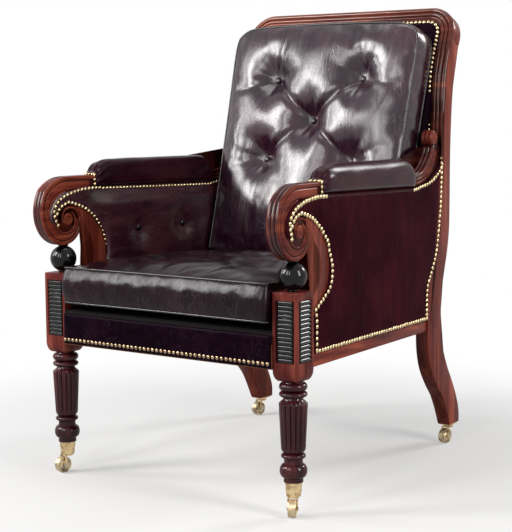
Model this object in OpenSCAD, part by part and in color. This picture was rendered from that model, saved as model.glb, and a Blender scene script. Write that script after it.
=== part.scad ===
// Library armchair with scrolled arms, turned and reeded front legs, sabre back legs and castors.
// Millimetres, +Z up, the chair faces -Y and right is +X as seen from the front.
// The origin is on the floor, under the middle of the chair's own box.

/* [Overall] */
// Height of the crest above the floor
height = 1020; // [990:1:1050]
// Angle by which each side turns in toward the back
splay = 2.5; // [2:0.1:3]
// Thickness of the arms and of the scroll
arm_t = 28; // [26:1:30]
// Gap between pieces that only rest on each other
seat_gap = 0.3; // [0.2:0.1:0.4]

/* [Front legs] */
// Width of the square block
block_w = 58; // [54:1:62]
// Height of the block's foot above the floor
block_bottom = 268; // [264:1:272]
// Height at which the block is fully square
pommel_top = 290; // [286:1:294]
// Largest radius of the turning
turn_r = 28.5; // [27:0.5:30]
// Number of reeds round the barrel
leg_reeds = 16; // [14:2:18]
// Width of the groove between two reeds
reed_gap = 3.6; // [3:0.2:4.2]
// Depth of the groove between two reeds
reed_cut = 2.6; // [2:0.2:3]
// Width of the sunk panel on the block
panel_w = 36; // [32:1:40]
// Depth of the sunk panel
panel_cut = 4; // [3:0.5:5]
// Plain wood above and below the cross reeds
panel_margin = 15.8; // [14:0.2:18]
// Number of cross reeds in a panel
cross_reeds = 14; // [12:1:15]
// Radius of the ball under the scroll
ball_r = 28.5; // [27:0.5:30]
// Height of the collars above and below the ball
collar_h = 1.2; // [1:0.1:2]
// Radius of the collars above and below the ball
ball_neck_r = 9; // [7:0.5:11]

/* [Castors] */
// Radius of a wheel
wheel_r = 17.5; // [16:0.5:18]
// Width of a wheel
wheel_w = 15; // [13:0.5:16]
// Distance from the swivel axis back to the axle
trail = 13; // [11:0.5:15]
// Height of the underside of the cup
cup_bottom = 40; // [39.5:0.5:42]
// Height of the rim of the cup
cup_top = 68; // [66:0.5:70]
// Outer radius of the cup at its rim
cup_r_top = 17.5; // [16.5:0.5:18.5]
// Outer radius of the cup at its foot
cup_r_foot = 14.6; // [14:0.2:15.5]
// Radius of the leg's tapered end inside the cup
tenon_r = 12.5; // [11:0.5:13]
// Thickness of the floor of the cup
cup_floor = 4; // [3:0.5:5]
// Thickness of the horn's crown
crown_t = 3; // [2.5:0.5:3.5]
// Radius of the horn's crown
crown_r = 11; // [10:0.5:12]
// Thickness of each cheek of the horn
cheek_t = 2.4; // [2:0.2:3]
// Radius of the axle pin
axle_r = 2.2; // [2:0.1:2.4]
// Radius of the swivel pin
stem_r = 4; // [3.5:0.1:4.5]
// Length of the swivel pin above the crown
stem_l = 12; // [10:0.5:13]
// Running clearance between faces that turn past each other
run_gap = 0.3; // [0.2:0.05:0.4]
// Running clearance round the pins
pin_gap = 0.08; // [0.05:0.01:0.1]
// Angle at which the front left castor rests
rest_fl = -12; // [-40:1:40]
// Angle at which the front right castor rests
rest_fr = 25; // [-40:1:40]
// Angle at which the back left castor rests
rest_bl = -12; // [-40:1:40]
// Angle at which the back right castor rests
rest_br = -8; // [-40:1:40]
// Height of the back legs' feet above the underside of the cups
foot_rise = 7; // [6:0.5:8]
// Thickness of the back castors' plates
plate_t = 2.5; // [2:0.25:3]
// Thickness of an axle's riveted heads
rivet_t = 1.2; // [1:0.1:1.4]

/* [Arm scroll] */
// Distance from the leg's centre back to the eye of the scroll
eye_s = 5; // [3:0.5:7]
// Rise of the scroll above the arm's top under the pad
scroll_rise = 4; // [3:0.5:5]
// Radius of the scroll at its top
volute_r = 92; // [89:1:95]
// Gap of bare wood between the scroll's hub and the tongue of leather
tongue_gap = 4; // [3:0.5:5]
// Radius of the inner edge of the arm band where it leaves the scroll
band_r = 56; // [54:1:58]
// Depth of the arm under the front of the pad
arm_front_d = 21; // [18:1:24]
// Depth of the arm under the back of the pad
arm_back_d = 30; // [27:1:33]
// Thickness of the pad at its crown
pad_t = 36; // [32:1:40]
// Distance from the leg's centre to the front of the pad
pad_front = 88; // [84:1:92]
// Distance from the back of the pad to the middle of the hollow sweep
pad_set = 8; // [6:1:10]
// Height of the crown of the pad
pad_top_z = 681; // [676:1:686]
// Half width of the pad
pad_half = 25; // [23:1:27]
// Depth of the grooves that reed the arm's edge
rim_cut = 2.4; // [2:0.2:3]
// Width of the grooves that reed the arm's edge
rim_gap = 2; // [1.6:0.2:2.4]
// Depth of the spiral groove on the faces of the scroll
spiral_cut = 2.5; // [2:0.25:3]
// Width of the spiral groove on the faces of the scroll
spiral_gap = 3; // [2.4:0.2:3.6]

/* [Arm support] */
// Distance from the leg's centre back to the middle of the C curve
curve_s = 15; // [13:0.5:17]
// How far the middle of the C curve lies below the eye of the scroll
curve_drop = 75; // [72:1:78]
// Outer radius of the C curve
curve_out = 101.5; // [99:0.5:104]
// Inner radius of the C curve
curve_in = 66.5; // [64:0.5:69]
// Distance from the leg's centre back to the edge of the leather
stile_s = 54; // [50:1:58]

/* [Back of the arm] */
// Distance from the middle of the hollow sweep to the upright
sweep_set = 129.3; // [125:0.1:133]
// Radius of the hollow sweep
sweep_r = 90; // [88:1:92]
// Radius of the sweep's underside
under_r = 181; // [178:1:184]
// Distance from the middle of the small roll to the upright
roll_set = 37.3; // [34:0.1:40]
// How far the middle of the small roll lies below the middle of the sweep
roll_drop = 13; // [10:1:16]
// Radius of the small roll
roll_r = 17.5; // [16.5:0.5:18.5]
// How far the arm's end on the upright lies below the middle of the roll
end_drop = 20; // [17:1:23]

/* [Seat frame] */
// How far the hidden rails lie above the underside of the side rails
rail_rise = 4; // [3:0.5:5]
// How far the corner blocks lie above the underside of the side rails
corner_rise = 10; // [8:1:12]
// Depth to which the side leather is let into the arms
hide_sink = 2; // [1.5:0.25:2]
// Distance of the outer straps from block and rail
web_inset = 8; // [6:1:10]
// Radius of the deck's front edge
deck_r = 12; // [10:1:13]
// Height of the underside of the side rails
rail_bottom = 287; // [284:1:290]
// Height of the top of all the rails
rail_top = 340; // [336:1:343]
// Height of the lower edge of the side leather
leather_z = 311; // [307:1:315]
// Thickness of the front rail
front_rail_t = 24; // [20:1:28]
// Distance from the leg's centre forward to the face of the front leather
cover_face = 35; // [33:0.5:37]
// Thickness of the leather
hide_t = 3; // [2.5:0.25:3.5]
// Thickness of one layer of webbing
web_t = 1.5; // [1.2:0.1:1.8]
// Width of a strap of webbing
web_w = 50; // [46:1:54]
// Number of straps across and from front to back
web_count = 5; // [4:1:6]
// Height of the deck at the front
deck_front_z = 365; // [361:1:368]
// Drop of the deck toward the back, in degrees
seat_slope = 2; // [1.5:0.1:2.5]
// Thickness of the back seat rail
back_rail_t = 28; // [24:1:32]
// Length of a corner block along the rails
corner_l = 70; // [60:1:80]

/* [Back frame] */
// Thickness of the back legs, across the chair
upright_t = 32; // [30:1:34]
// Depth of the crest and of the top of the uprights
crest_d = 40; // [38:1:42]
// Width of the crest's moulded face
crest_face = 33; // [31:1:35]
// Outer radius of the crest's corners
crest_r = 66; // [62:1:70]
// Lean of the top of the back
crest_lean = 23; // [21:0.5:25]
// Height of the crest above its joint with the uprights
crest_rise = 75; // [70:1:80]
// How far that joint lies behind the line on which the back cushion leans
joint_set = 8.4; // [6:0.2:10]
// Depth of the inside back behind the front of the uprights
back_depth = 20; // [16:1:24]
// Lean of the cushions and of the inside back
back_lean = 15; // [14:0.25:16]
// Distance from the seat cushion's rear edge to the inside back
back_set = 25; // [22:1:28]
// Distance from there to the end of the side, along which rail, arm and back leg are set out
run_set = 167; // [160:1:172]
// Height at which the two are measured
back_foot_z = 465; // [461:1:469]
// Height of the lower back rail
low_rail_z = 400; // [395:1:405]
// Depth of that rail from bottom to top
low_rail_h = 40; // [36:1:44]
// Thickness of the lower back rail
low_rail_t = 18; // [15:1:18]

/* [Cushions] */
// Half width of the seat cushion at the front
seat_half = 265; // [261:1:266]
// Gap between the seat cushion and the blocks of the legs
seat_side_gap = 5; // [4:0.5:8]
// Least gap between the back cushion and the uprights
back_side_gap = 3; // [2:0.5:4]
// Distance from the leg's centre forward to the front of the seat cushion
seat_front = 38; // [35:1:41]
// Distance from the leg's centre back to the back of the seat cushion
seat_back = 508; // [503:1:509]
// Height of the seat cushion's sides
seat_side = 74; // [70:1:76]
// Rise of the seat cushion's crown above its piping
seat_crown = 22; // [18:1:24]
// Bulge of the seat cushion's underside below its piping
seat_belly = 18; // [14:1:20]
// Half width of the back cushion
back_half = 252; // [247:1:254]
// Height of the back cushion along its slope
back_h = 541; // [534:1:546]
// Thickness of the back cushion's sides
back_side = 66; // [62:1:68]
// Swell of the back cushion's face in front of its piping
back_crown = 26; // [20:1:30]
// Swell of the back cushion's rear
back_belly = 12; // [8:1:14]
// Radius of a cushion button
button_r = 8; // [7:0.5:9]
// Thickness of a cushion button
button_t = 5; // [4:0.5:6]
// Depth of a tuft in the back cushion
tuft = 26; // [22:1:30]
// Depth of a tuft in the seat cushion
seat_tuft = 12; // [8:1:15]
// Bow of the seat cushion's front and back edges
seat_bow = 5; // [3:0.5:6]
// Bulge of a cushion's boxed sides
side_bulge = 3; // [2:0.5:3]
// Height of the lower edge of the squabs
squab_low = 386; // [380:1:390]
// Distance of the squabs' upper edge below the arm band
squab_edge = 8; // [6:1:10]
// Thickness of a squab at its rim
squab_rim = 1; // [0.8:0.1:1.2]
// Swell of the pads inside the arms
squab_crown = 10; // [7:1:11]

/* [Hidden] */
$fn = 48;
// Overrun of every cut
cut = 1;
// Least rise between two points of an outline
step = 4;
arm_h = arm_t / 2;
hide_out = hide_t - hide_sink;
// Lengths along a side, from the front leg's centre back, and the line of the cushions
back_foot_s = seat_back + back_set;
side_run = back_foot_s + run_set;
function lean_s(z) = back_foot_s + (z - back_foot_z) * tan(back_lean);
// Heights along the arm, down from the crown of the pad
pad_seat_z = pad_top_z - pad_t;
band_front_z = pad_seat_z - arm_front_d;
band_back_z = pad_seat_z - arm_back_d;
eye_z = pad_seat_z + scroll_rise - volute_r;
curve_z = eye_z - curve_drop;
sweep_z = pad_seat_z + sweep_r;
roll_z = sweep_z - roll_drop;
arm_end_z = roll_z - end_drop;
// The joint of upright and crest, and the front leg's centre, which clears both cushions
joint_z = height - crest_rise;
joint_s = lean_s(joint_z) + joint_set;
leg_x = max(seat_half + seat_side_gap + block_w / 2,
    back_half + back_side_gap + arm_h * cos(splay) + joint_s * tan(splay));
foot_z = cup_bottom + foot_rise;

// Front edge of the back leg: from foot to rails, height share and share of the side's length,
// and from rails to joint, height share and distance share between knee and joint
front_low_shares = [[0, 0.969], [0.222, 0.919], [0.362, 0.867], [0.501, 0.824], [0.64, 0.803],
    [0.78, 0.797], [0.954, 0.797]];
front_high_shares = [[0.045, 0], [0.087, 0.037], [0.129, 0.187], [0.197, 0.4], [0.281, 0.512],
    [0.399, 0.606], [0.585, 0.643], [0.753, 0.662], [0.854, 0.712], [0.938, 0.843]];
// Rear edge of the back leg: below the rails the same way, above them height share, distance share
// between knee and joint, and depth behind that as a share of the crest's
rear_low_shares = [[0, 1.04], [0.101, 1.038], [0.222, 1.018], [0.362, 0.983], [0.501, 0.943],
    [0.64, 0.913], [0.78, 0.897], [0.954, 0.893]];
rear_high_shares = [[0.062, 0.015, 1.76], [0.129, 0.187, 1.575], [0.197, 0.4, 1.31],
    [0.281, 0.512, 1.24], [0.399, 0.606, 1.03], [0.585, 0.643, 0.945], [0.753, 0.662, 1.05],
    [0.854, 0.712, 1.155], [0.922, 0.83, 1.085]];
knee_s = 0.797 * side_run;

function catmull(a, b, c, d, t) =
    (b * 2 + (c - a) * t + (a * 2 - b * 5 + c * 4 - d) * t * t + (b * 3 - a - c * 3 + d) * t * t * t) / 2;
function spline(p, n) = concat([for (i = [0:len(p) - 2]) for (k = [0:n - 1])
    catmull(p[max(i - 1, 0)], p[i], p[i + 1], p[min(i + 2, len(p) - 1)], k / n)], [p[len(p) - 1]]);
function flip(p) = [for (i = [len(p) - 1:-1:0]) p[i]];
function arc(c, r, a0, a1, n) = [for (i = [0:n]) let (a = a0 + (a1 - a0) * i / n) c + r * [cos(a), sin(a)]];
function mix(a, b, t) = a + (b - a) * t;
// Distance along an edge at height z, where the edge is a list of [distance, height] that rises
function at_z(p, z, i = 0) = i >= len(p) - 2 || p[i + 1][1] >= z
    ? mix(p[i][0], p[i + 1][0], (z - p[i][1]) / (p[i + 1][1] - p[i][1])) : at_z(p, z, i + 1);
function between(p, z0, z1) = [for (q = p) if (q[1] > z0 && q[1] < z1) q];

joint_rear = [joint_s + crest_d * cos(crest_lean), joint_z - crest_d * sin(crest_lean)];
function leg_edge(low, high, last) = spline(concat(
    [for (q = low) [q[1] * side_run, mix(foot_z, rail_top, q[0])]],
    [for (q = high) [mix(knee_s, joint_s, q[1]) + (len(q) > 2 ? q[2] * crest_d : 0),
        mix(rail_top, joint_z, q[0])]], [last]), 4);
edge_front = leg_edge(front_low_shares, front_high_shares, [joint_s, joint_z]);
edge_rear = leg_edge(rear_low_shares, rear_high_shares, joint_rear);
foot_s = (edge_front[0][0] + edge_rear[0][0]) / 2;
rail_end = knee_s - seat_gap;
// The back of the arm stands off the upright
upright_s = at_z(edge_front, arm_end_z - arm_t);
sweep_s = upright_s - sweep_set;
roll_s = upright_s - roll_set;
pad_back = sweep_s - pad_set;

// Scroll: a round top that then loses the same share of its radius in each degree
eye = [eye_s, eye_z];
wind_share = 0.0039;
function wind(a) = a < 135 ? volute_r : volute_r * exp(-wind_share * (a - 135));
function coil(a, off = 0) = eye + (wind(a) + off) * [cos(a), sin(a)];
hub_angle = 405;
hub_r = wind(hub_angle);
curve = [curve_s, curve_z];
hub_gap = norm(eye - curve);
hub_dir = atan2(eye_z - curve_z, eye_s - curve_s);
curve_top_angle = hub_dir - acos((curve_out * curve_out + hub_gap * hub_gap - hub_r * hub_r) / (2
    * curve_out * hub_gap));
curve_top = curve + curve_out * [cos(curve_top_angle), sin(curve_top_angle)];
hub_end_angle = atan2(curve_top[1] - eye_z, curve_top[0] - eye_s);
curve_low_angle = -acos((stile_s - curve_s) / curve_out);
root_angle = 370;
root = coil(root_angle);
root_dir = atan2(root[1] - curve_z, root[0] - curve_s);
root_r = norm(root - curve);
function curve_inner(a) = a < 45 ? curve_in : curve_in + (root_r - curve_in) * pow((a - 45) / (root_dir
    - 45), 2);
block_back = block_w / 2;
block_edge = (block_back + arm_h * sin(splay)) / cos(splay) + seat_gap / 2;
curve_foot_angle = -acos((block_edge - curve_s) / curve_in);

// Inner edge of the arm band, from the tip of the leather tongue to the back of the arm
tongue_angle = 201;
tongue_top_angle = 165;
band_join_share = 52 / 97;
band_inner = concat(
    [for (i = [0:4]) let (a = mix(tongue_angle, tongue_top_angle, i / 4)) eye + mix(hub_r + tongue_gap,
        band_r, sin(90 * i / 4))
        * [cos(a), sin(a)]],
    [for (i = [1:7]) let (a = mix(tongue_top_angle, 90, i / 7)) eye + mix(band_r, band_r + hide_t,
        i / 7) * [cos(a), sin(a)]],
    [[band_join_share * pad_front, band_front_z - cut]], [[pad_front, band_front_z]]);
under_c = [sweep_s - 0.08 * sweep_r, band_back_z + under_r];
under_end_angle = -acos((upright_s - under_c[0]) / under_r);
under_arc = arc(under_c, under_r, -96, under_end_angle, 9);
band_edge = concat(band_inner, under_arc);
hub_arc = arc(eye, hub_r, hub_end_angle, tongue_angle, 14);
curve_arc = arc(curve, curve_out, curve_low_angle, curve_top_angle, 20);
root_arc = concat([for (a = [root_angle:7:hub_angle]) coil(a)], arc(eye, hub_r, hub_angle - 356,
    hub_end_angle, 1));

sweep_angle = 343;
arm_outline = concat(
    [[upright_s, arm_end_z]], [[roll_s + roll_r * 0.85, roll_z - roll_r * 0.55]],
    arc([sweep_s, sweep_z], sweep_r, sweep_angle, 270, 9),
    [[pad_front, pad_seat_z]], [[pad_front, eye_z + volute_r]],
    [for (a = [90:9:130]) coil(a)], [for (a = [135:9:369]) coil(a)],
    root_arc, hub_arc, band_edge);
support_outline = concat(root_arc, flip(curve_arc), [[stile_s, rail_top]], [[block_edge, rail_top]],
    [for (i = [0:16]) let (a = mix(curve_foot_angle, root_dir,
        i / 16)) curve + curve_inner(a) * [cos(a), sin(a)]]);
function window(z) = concat([[stile_s, z]], curve_arc, hub_arc, band_edge,
    flip(between(edge_front, z, under_arc[9][1])), [[at_z(edge_front, z), z]]);

// Depth of the chair: its box is centred on the origin
y_front = min([for (q = arm_outline) q[0]]) * cos(splay) - arm_h * sin(splay);
crest_up = (height - joint_z) / cos(crest_lean);
crest_rear = joint_s + crest_up * sin(crest_lean) + crest_d * cos(crest_lean);
setback = (y_front + crest_rear) / 2;
upright_in = -arm_h;
crest_half = leg_x + upright_in + upright_t - (joint_s + crest_d / 2) * sin(splay);

module at_side(left) mirror([left ? 1 : 0, 0, 0]) translate([leg_x, -setback, 0]) rotate([0, 0,
    splay]) children();
module at_mid() translate([0, -setback, 0]) children();
// A side profile, drawn as distance back and height, becomes a plate from o0 outward
module plate(o0, t) translate([o0, 0, 0]) rotate([90, 0, 90]) linear_extrude(t) children();
module across(half) translate([-half, 0, 0]) rotate([90, 0, 90]) linear_extrude(2 * half) children();
function inside_x(s, o) = leg_x + o * cos(splay) - s * tan(splay);
// The ground plan between the sides, to a given offset from the arms' middle plane
module plan(o, s0, s1, z0, z1) translate([0, 0, z0]) linear_extrude(z1 - z0)
    polygon([[-inside_x(s0, o), s0], [inside_x(s0, o), s0], [inside_x(s1, o), s1], [-inside_x(s1, o), s1]]);

// Front legs
scroll_foot_z = coil(262)[1];
block_top = scroll_foot_z - 2 * (ball_r + collar_h);
turn_h = block_bottom - cup_top;
function tz(share) = cup_top + share * turn_h;
function bead(z0, z1, r0, r1, n) = [for (i = [0:n]) [turn_r * mix(r0, r1, sin(180 * i / n)), tz(mix(z0,
    z1, (1 - cos(180 * i / n)) / 2))]];
function quarter_up(z0, z1, r0, r1, n) = [for (i = [0:n]) [turn_r * mix(r0, r1, sin(90 * i / n)),
    tz(mix(z0, z1, 1 - cos(90 * i / n)))]];
turning = concat([[0, cup_bottom + cup_floor], [tenon_r, cup_bottom + cup_floor], [tenon_r, cup_top]],
    [[0.68 * turn_r, cup_top], [0.68 * turn_r, tz(0.03)]],
    bead(0.045, 0.18, 0.66, 0.96, 10), bead(0.235, 0.285, 0.64, 0.86, 8),
    quarter_up(0.3, 0.345, 0.69, 0.855, 5), [[turn_r, tz(0.78)]],
    flip([for (i = [0:4]) [turn_r * mix(0.7, 1, sin(90 * i / 5)), tz(mix(0.82, 0.78,
        1 - cos(90 * i / 5)))]]),
    bead(0.84, 0.9, 0.67, 0.98, 8), bead(0.905, 0.985, 0.72, 0.98, 8),
    [[0.64 * turn_r, block_bottom], [0, block_bottom]]);
panel_h = block_top - pommel_top - 2 * panel_margin;
cross_pitch = panel_h / cross_reeds;
panel_z = (pommel_top + block_top) / 2 - panel_h / 2;

module leg_panels(grow) for (a = [0, 90]) rotate([0, 0, a])
    translate([-panel_w / 2, -block_back - grow, panel_z]) cube([panel_w, panel_cut + grow, panel_h]);
module front_leg(left) color("saddlebrown") mirror([left ? 1 : 0, 0, 0]) translate([leg_x, -setback,
    0]) difference() {
    union() {
        rotate_extrude() polygon(turning);
        translate([-block_back, -block_back, pommel_top]) cube([block_w, block_w, block_top - pommel_top]);
        intersection() {
            translate([-block_back, -block_back, block_bottom]) cube([block_w, block_w,
                pommel_top - block_bottom]);
            translate([0, 0, block_bottom]) cylinder(h = pommel_top - block_bottom, r1 = 0.74 * turn_r,
                r2 = block_w * 0.72);
        }
    }
    for (i = [0:leg_reeds - 1]) rotate([0, 0, 360 * i / leg_reeds]) reed_groove();
    leg_panels(cut);
    translate([0, 0, cup_bottom]) cylinder(h = cup_floor + stem_l - crown_t + run_gap,
        r = stem_r + pin_gap);
}
groove_low = [turn_r * 0.855, tz(0.31)];
groove_high = [turn_r, tz(0.81)];
groove_tilt = atan2(groove_high[0] - groove_low[0], groove_high[1] - groove_low[1]);
module reed_groove() translate([groove_low[0], 0, groove_low[1]]) rotate([0, groove_tilt, 0])
    linear_extrude(norm(groove_high - groove_low))
    polygon([[-reed_cut, 0], [cut, -reed_gap * 0.7], [cut, reed_gap * 0.7]]);
reed_wave = concat([[-panel_cut, 0]],
    [for (i = [0:cross_reeds - 1]) for (k = [0:5]) [-panel_cut * 0.7 + cross_pitch * 0.42 * sin(180
        * k / 5),
        cross_pitch * (i + 0.5 - 0.48 * cos(180 * k / 5))]], [[-panel_cut, panel_h]]);
module leg_reed_set(left) color("black") mirror([left ? 1 : 0, 0, 0]) translate([leg_x, -setback, 0])
    for (a = [0, 90]) rotate([0, 0, a]) translate([panel_w / 2, -block_back, panel_z])
    rotate([90, 0, -90]) linear_extrude(panel_w) polygon(reed_wave);
ball_z = (block_top + scroll_foot_z) / 2;
module ball(left) color("black") mirror([left ? 1 : 0, 0, 0]) translate([leg_x, -setback, 0]) {
    translate([0, 0, ball_z]) sphere(r = ball_r);
    translate([0, 0, block_top]) cylinder(h = scroll_foot_z - block_top - seat_gap, r = ball_neck_r);
}

// Arms
rim = concat([[pad_front, 0]], [[eye_s, 0]], [for (a = [99:9:130]) [a, 1]], [for (a = [135:9:364]) [a, 1]]);
function rim_line(off) = concat([[pad_front, eye_z + volute_r + off]], [for (a = [90:9:130]) coil(a, off)],
    [for (a = [135:9:360]) coil(a, off)]);
module rim_grooves() for (o = [-0.5, 0, 0.5]) plate(o * arm_h - rim_gap / 2, rim_gap)
    polygon(concat(rim_line(cut), flip(rim_line(-rim_cut))));
module sweep_grooves() for (o = [-0.5, 0, 0.5]) plate(o * arm_h - rim_gap / 2, rim_gap)
    polygon(concat(arc([sweep_s, sweep_z], sweep_r - cut, 340, 274, 8), arc([sweep_s, sweep_z],
        sweep_r + rim_cut, 274, 340, 8)));
function inner_wind(a, off) = eye + ((hub_r + 0.7 * spiral_gap) * exp(-0.0045 * (a - tongue_angle))
    + off) * [cos(a), sin(a)];
inner_spiral = [for (off = [-0.5,
    0.5]) [for (a = [tongue_angle + 4:12:tongue_angle + 340]) inner_wind(a, off * spiral_gap)]];
outer_spiral = [for (off = [-0.5, 0.5]) [for (a = [100:10:370]) coil(a,
    -0.24 * wind(a) + off * spiral_gap)]];
module face_grooves() for (o = [-arm_h - cut, arm_h - spiral_cut]) plate(o, spiral_cut + cut) {
    polygon(concat(inner_spiral[0], flip(inner_spiral[1])));
    polygon(concat(outer_spiral[0], flip(outer_spiral[1])));
}
module arm_rail(left) color("sienna") at_side(left) difference() {
    union() {
        plate(-arm_h, arm_t) polygon(arm_outline);
        translate([-arm_h, roll_s, roll_z]) rotate([0, 90, 0]) cylinder(h = arm_t, r = roll_r);
    }
    rim_grooves();
    sweep_grooves();
    face_grooves();
}
module arm_support(left) color("sienna") at_side(left) difference() {
    plate(-arm_h, arm_t) polygon(support_outline);
    for (o = [-0.4, 0.4]) plate(o * arm_h - rim_gap / 2, rim_gap)
        polygon(concat(arc(curve, curve_in - cut, -60, 44, 12), arc(curve, curve_in + rim_cut, 44, -60,
            12)));
}

// The arm pad: a crowned saddle that laps down both sides of the arm
pad_rings = 22;
pad_inner = arm_h + seat_gap;
function pad_ring(t) = let (s = mix(pad_front + seat_gap, pad_back, t), e = pow(abs(2 * t - 1), 7),
    f = 1 - 0.28 * e,
    w = pad_half * (1 - 0.12 * e), low = mix(band_front_z, band_back_z, t) + 4 * seat_gap,
        top = mix(pad_seat_z, pad_top_z - 2 * hide_t * t, f))
    concat([[pad_inner, s, low]],
        [for (i = [0:12]) let (a = 180 * i / 12, c = cos(a)) [sign(c) * w * pow(abs(c), 0.55), s,
            low + hide_t + (top - low - hide_t) * pow(sin(a), 0.5)]],
        [[-pad_inner, s, low], [-pad_inner, s, pad_seat_z + seat_gap], [pad_inner, s,
            pad_seat_z + seat_gap]]);
pad_points = [for (i = [0:pad_rings]) pad_ring(i / pad_rings)];
pad_n = len(pad_points[0]);
module loft(rings) {
    n = len(rings[0]);
    m = len(rings);
    polyhedron([for (r = rings) for (p = r) p], concat([[for (i = [0:n - 1]) i]],
        [for (k = [0:m - 2]) for (i = [0:n - 1]) [k * n + i, (k + 1) * n + i, (k + 1) * n + (i + 1) % n]],
        [for (k = [0:m - 2]) for (i = [0:n - 1]) [k * n + i, (k + 1) * n + (i + 1) % n,
            k * n + (i + 1) % n]],
        [[for (i = [n - 1:-1:0]) (m - 1) * n + i]]), 4);
}
module arm_pad(left) color("#2b1a20") at_side(left) loft(pad_points);

// Back legs, crest and rails
back_leg_outline = concat(edge_front, flip(edge_rear));
upright_front = between(edge_front, arm_end_z + step, joint_z - cut);
module back_leg(left) color("chocolate") at_side(left) difference() {
    plate(upright_in, upright_t) polygon(back_leg_outline);
    for (o = [0.38, 0.72]) plate(upright_in + o * upright_t - rim_gap / 2, rim_gap)
        polygon(concat([for (q = upright_front) q - [cut, 0]],
            flip([for (q = upright_front) q + [rim_cut, 0]])));
    translate([upright_in + upright_t / 2, foot_s, foot_z - cut]) cylinder(h = stem_l + run_gap,
        r = stem_r + pin_gap);
}
module at_crest() at_mid() translate([0, joint_s, joint_z]) rotate([-crest_lean, 0, 0]) rotate([90, 0, 0])
    translate([0, 0, -crest_d]) children();
function crest_line(off) = let (w = crest_half - off, h = crest_up - off, r = max(crest_r - off,
    crest_r * 0.45))
    concat([[w, seat_gap]], arc([w - r, h - r], r, 0, 90, 8), arc([r - w, h - r], r, 90, 180, 8), [[-w,
        seat_gap]]);
module crest_rail() color("chocolate") at_crest() difference() {
    linear_extrude(crest_d) polygon(concat(crest_line(0), flip(crest_line(crest_face))));
    for (o = [0.3, 0.62]) translate([0, 0, crest_d - rim_cut]) linear_extrude(rim_cut + cut)
        polygon(concat(crest_line(o * crest_face), flip(crest_line(o * crest_face + rim_gap))));
}
module front_seat_rail() color("saddlebrown") at_mid() translate([-leg_x + block_back,
    hide_t - cover_face, rail_bottom + rail_rise])
    cube([2 * (leg_x - block_back), front_rail_t, rail_top - rail_bottom - rail_rise]);
module side_rail(left) color("sienna") at_side(left) {
    plate(-arm_h, arm_t - hide_sink) polygon([[block_edge, rail_bottom], [rail_end, rail_bottom],
        [rail_end, rail_top], [block_edge, rail_top]]);
    plate(arm_h - hide_sink, hide_t) polygon([[block_edge, rail_bottom], [rail_end, rail_bottom],
        [rail_end, leather_z],
        [stile_s, leather_z], [stile_s, rail_top], [block_edge, rail_top]]);
}
back_rail_s = 0.82 * side_run;
module back_seat_rail() color("saddlebrown") at_mid() plan(upright_in - seat_gap, back_rail_s,
    back_rail_s + back_rail_t,
    rail_bottom + rail_rise, rail_top);
low_rail_s = at_z(edge_front, low_rail_z + low_rail_h) + back_depth + seat_gap;
module lower_back_rail() color("saddlebrown") at_mid() plan(upright_in - seat_gap, low_rail_s,
    low_rail_s + low_rail_t,
    low_rail_z, low_rail_z + low_rail_h);
module corner_blocks() color("burlywood") at_mid() for (m = [0, 1]) mirror([m, 0, 0]) {
    translate([0, 0, rail_bottom + corner_rise]) linear_extrude(rail_top - rail_bottom - corner_rise
        - rail_rise) polygon([
        [leg_x - block_back - corner_l, hide_t - cover_face + front_rail_t],
        [leg_x - block_back, hide_t - cover_face + front_rail_t], [leg_x - block_back, block_back],
        [inside_x(block_back, -arm_h) - seat_gap, block_back], [inside_x(corner_l + block_back,
            -arm_h) - seat_gap, corner_l + block_back]]);
    translate([0, 0, rail_bottom + corner_rise]) linear_extrude(rail_top - rail_bottom - corner_rise
        - rail_rise) polygon([
        [inside_x(back_rail_s, -arm_h) - corner_l, back_rail_s], [inside_x(back_rail_s,
            -arm_h) - seat_gap, back_rail_s],
        [inside_x(back_rail_s - corner_l, -arm_h) - seat_gap, back_rail_s - corner_l]]);
}

// Seat under the cushion
web_s0 = hide_t - cover_face + rail_rise;
web_s1 = back_rail_s + back_rail_t - rail_rise;
web_x = inside_x(web_s1, -arm_h * 0.3);
module seat_webbing() color("tan") at_mid() {
    for (i = [0:web_count - 1]) translate([0, mix(block_back + web_inset, rail_end - web_w - web_inset,
        i / (web_count - 1)), rail_top])
        translate([-web_x, 0, 0]) cube([2 * web_x, web_w, web_t]);
    for (i = [0:web_count - 1]) translate([mix(-0.86, 0.86,
        i / (web_count - 1)) * (leg_x - block_back) - web_w / 2, web_s0, rail_top + web_t])
        cube([web_w, web_s1 - web_s0, web_t]);
}
deck_z0 = rail_top + 2 * web_t;
deck_s1 = back_foot_s - (back_foot_z - deck_z0) * tan(back_lean) - seat_gap;
function deck_z(s) = deck_front_z - (s + cover_face) * tan(seat_slope);
deck_lip = [hide_t - cover_face, deck_z0];
deck_profile = concat([deck_lip], [[deck_lip[0], deck_front_z - 1.2 * deck_r]],
    arc([deck_lip[0] + deck_r, deck_z(deck_lip[0] + deck_r) - deck_r], deck_r, 165, 90, 5), [[deck_s1,
        deck_z(deck_s1)], [deck_s1, deck_z0]]);
module seat_deck() color("dimgray") at_mid() intersection() {
    across(leg_x) polygon(deck_profile);
    union() {
        plan(-arm_h - 2 * hide_out - seat_gap, block_back + seat_gap, deck_s1 + cut, deck_z0 - cut, height);
        translate([block_back - leg_x + seat_gap, -2 * cover_face, deck_z0 - cut])
            cube([2 * (leg_x - block_back - seat_gap), 2 * cover_face + block_back + hide_sink, height]);
    }
}
module front_rail_cover() color("#2b1a20") at_mid() across(leg_x - block_back) polygon(concat(
    [[hide_t - cover_face, rail_bottom + 1.5 * rail_rise], [-cover_face, rail_bottom + 1.5 * rail_rise],
        [-cover_face, deck_front_z - deck_r]],
    arc([2 * hide_t - cover_face, deck_front_z - deck_r], 2 * hide_t, 165, 100, 4),
        [[hide_t - cover_face, deck_front_z - 0.7 * deck_r]]));

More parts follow.
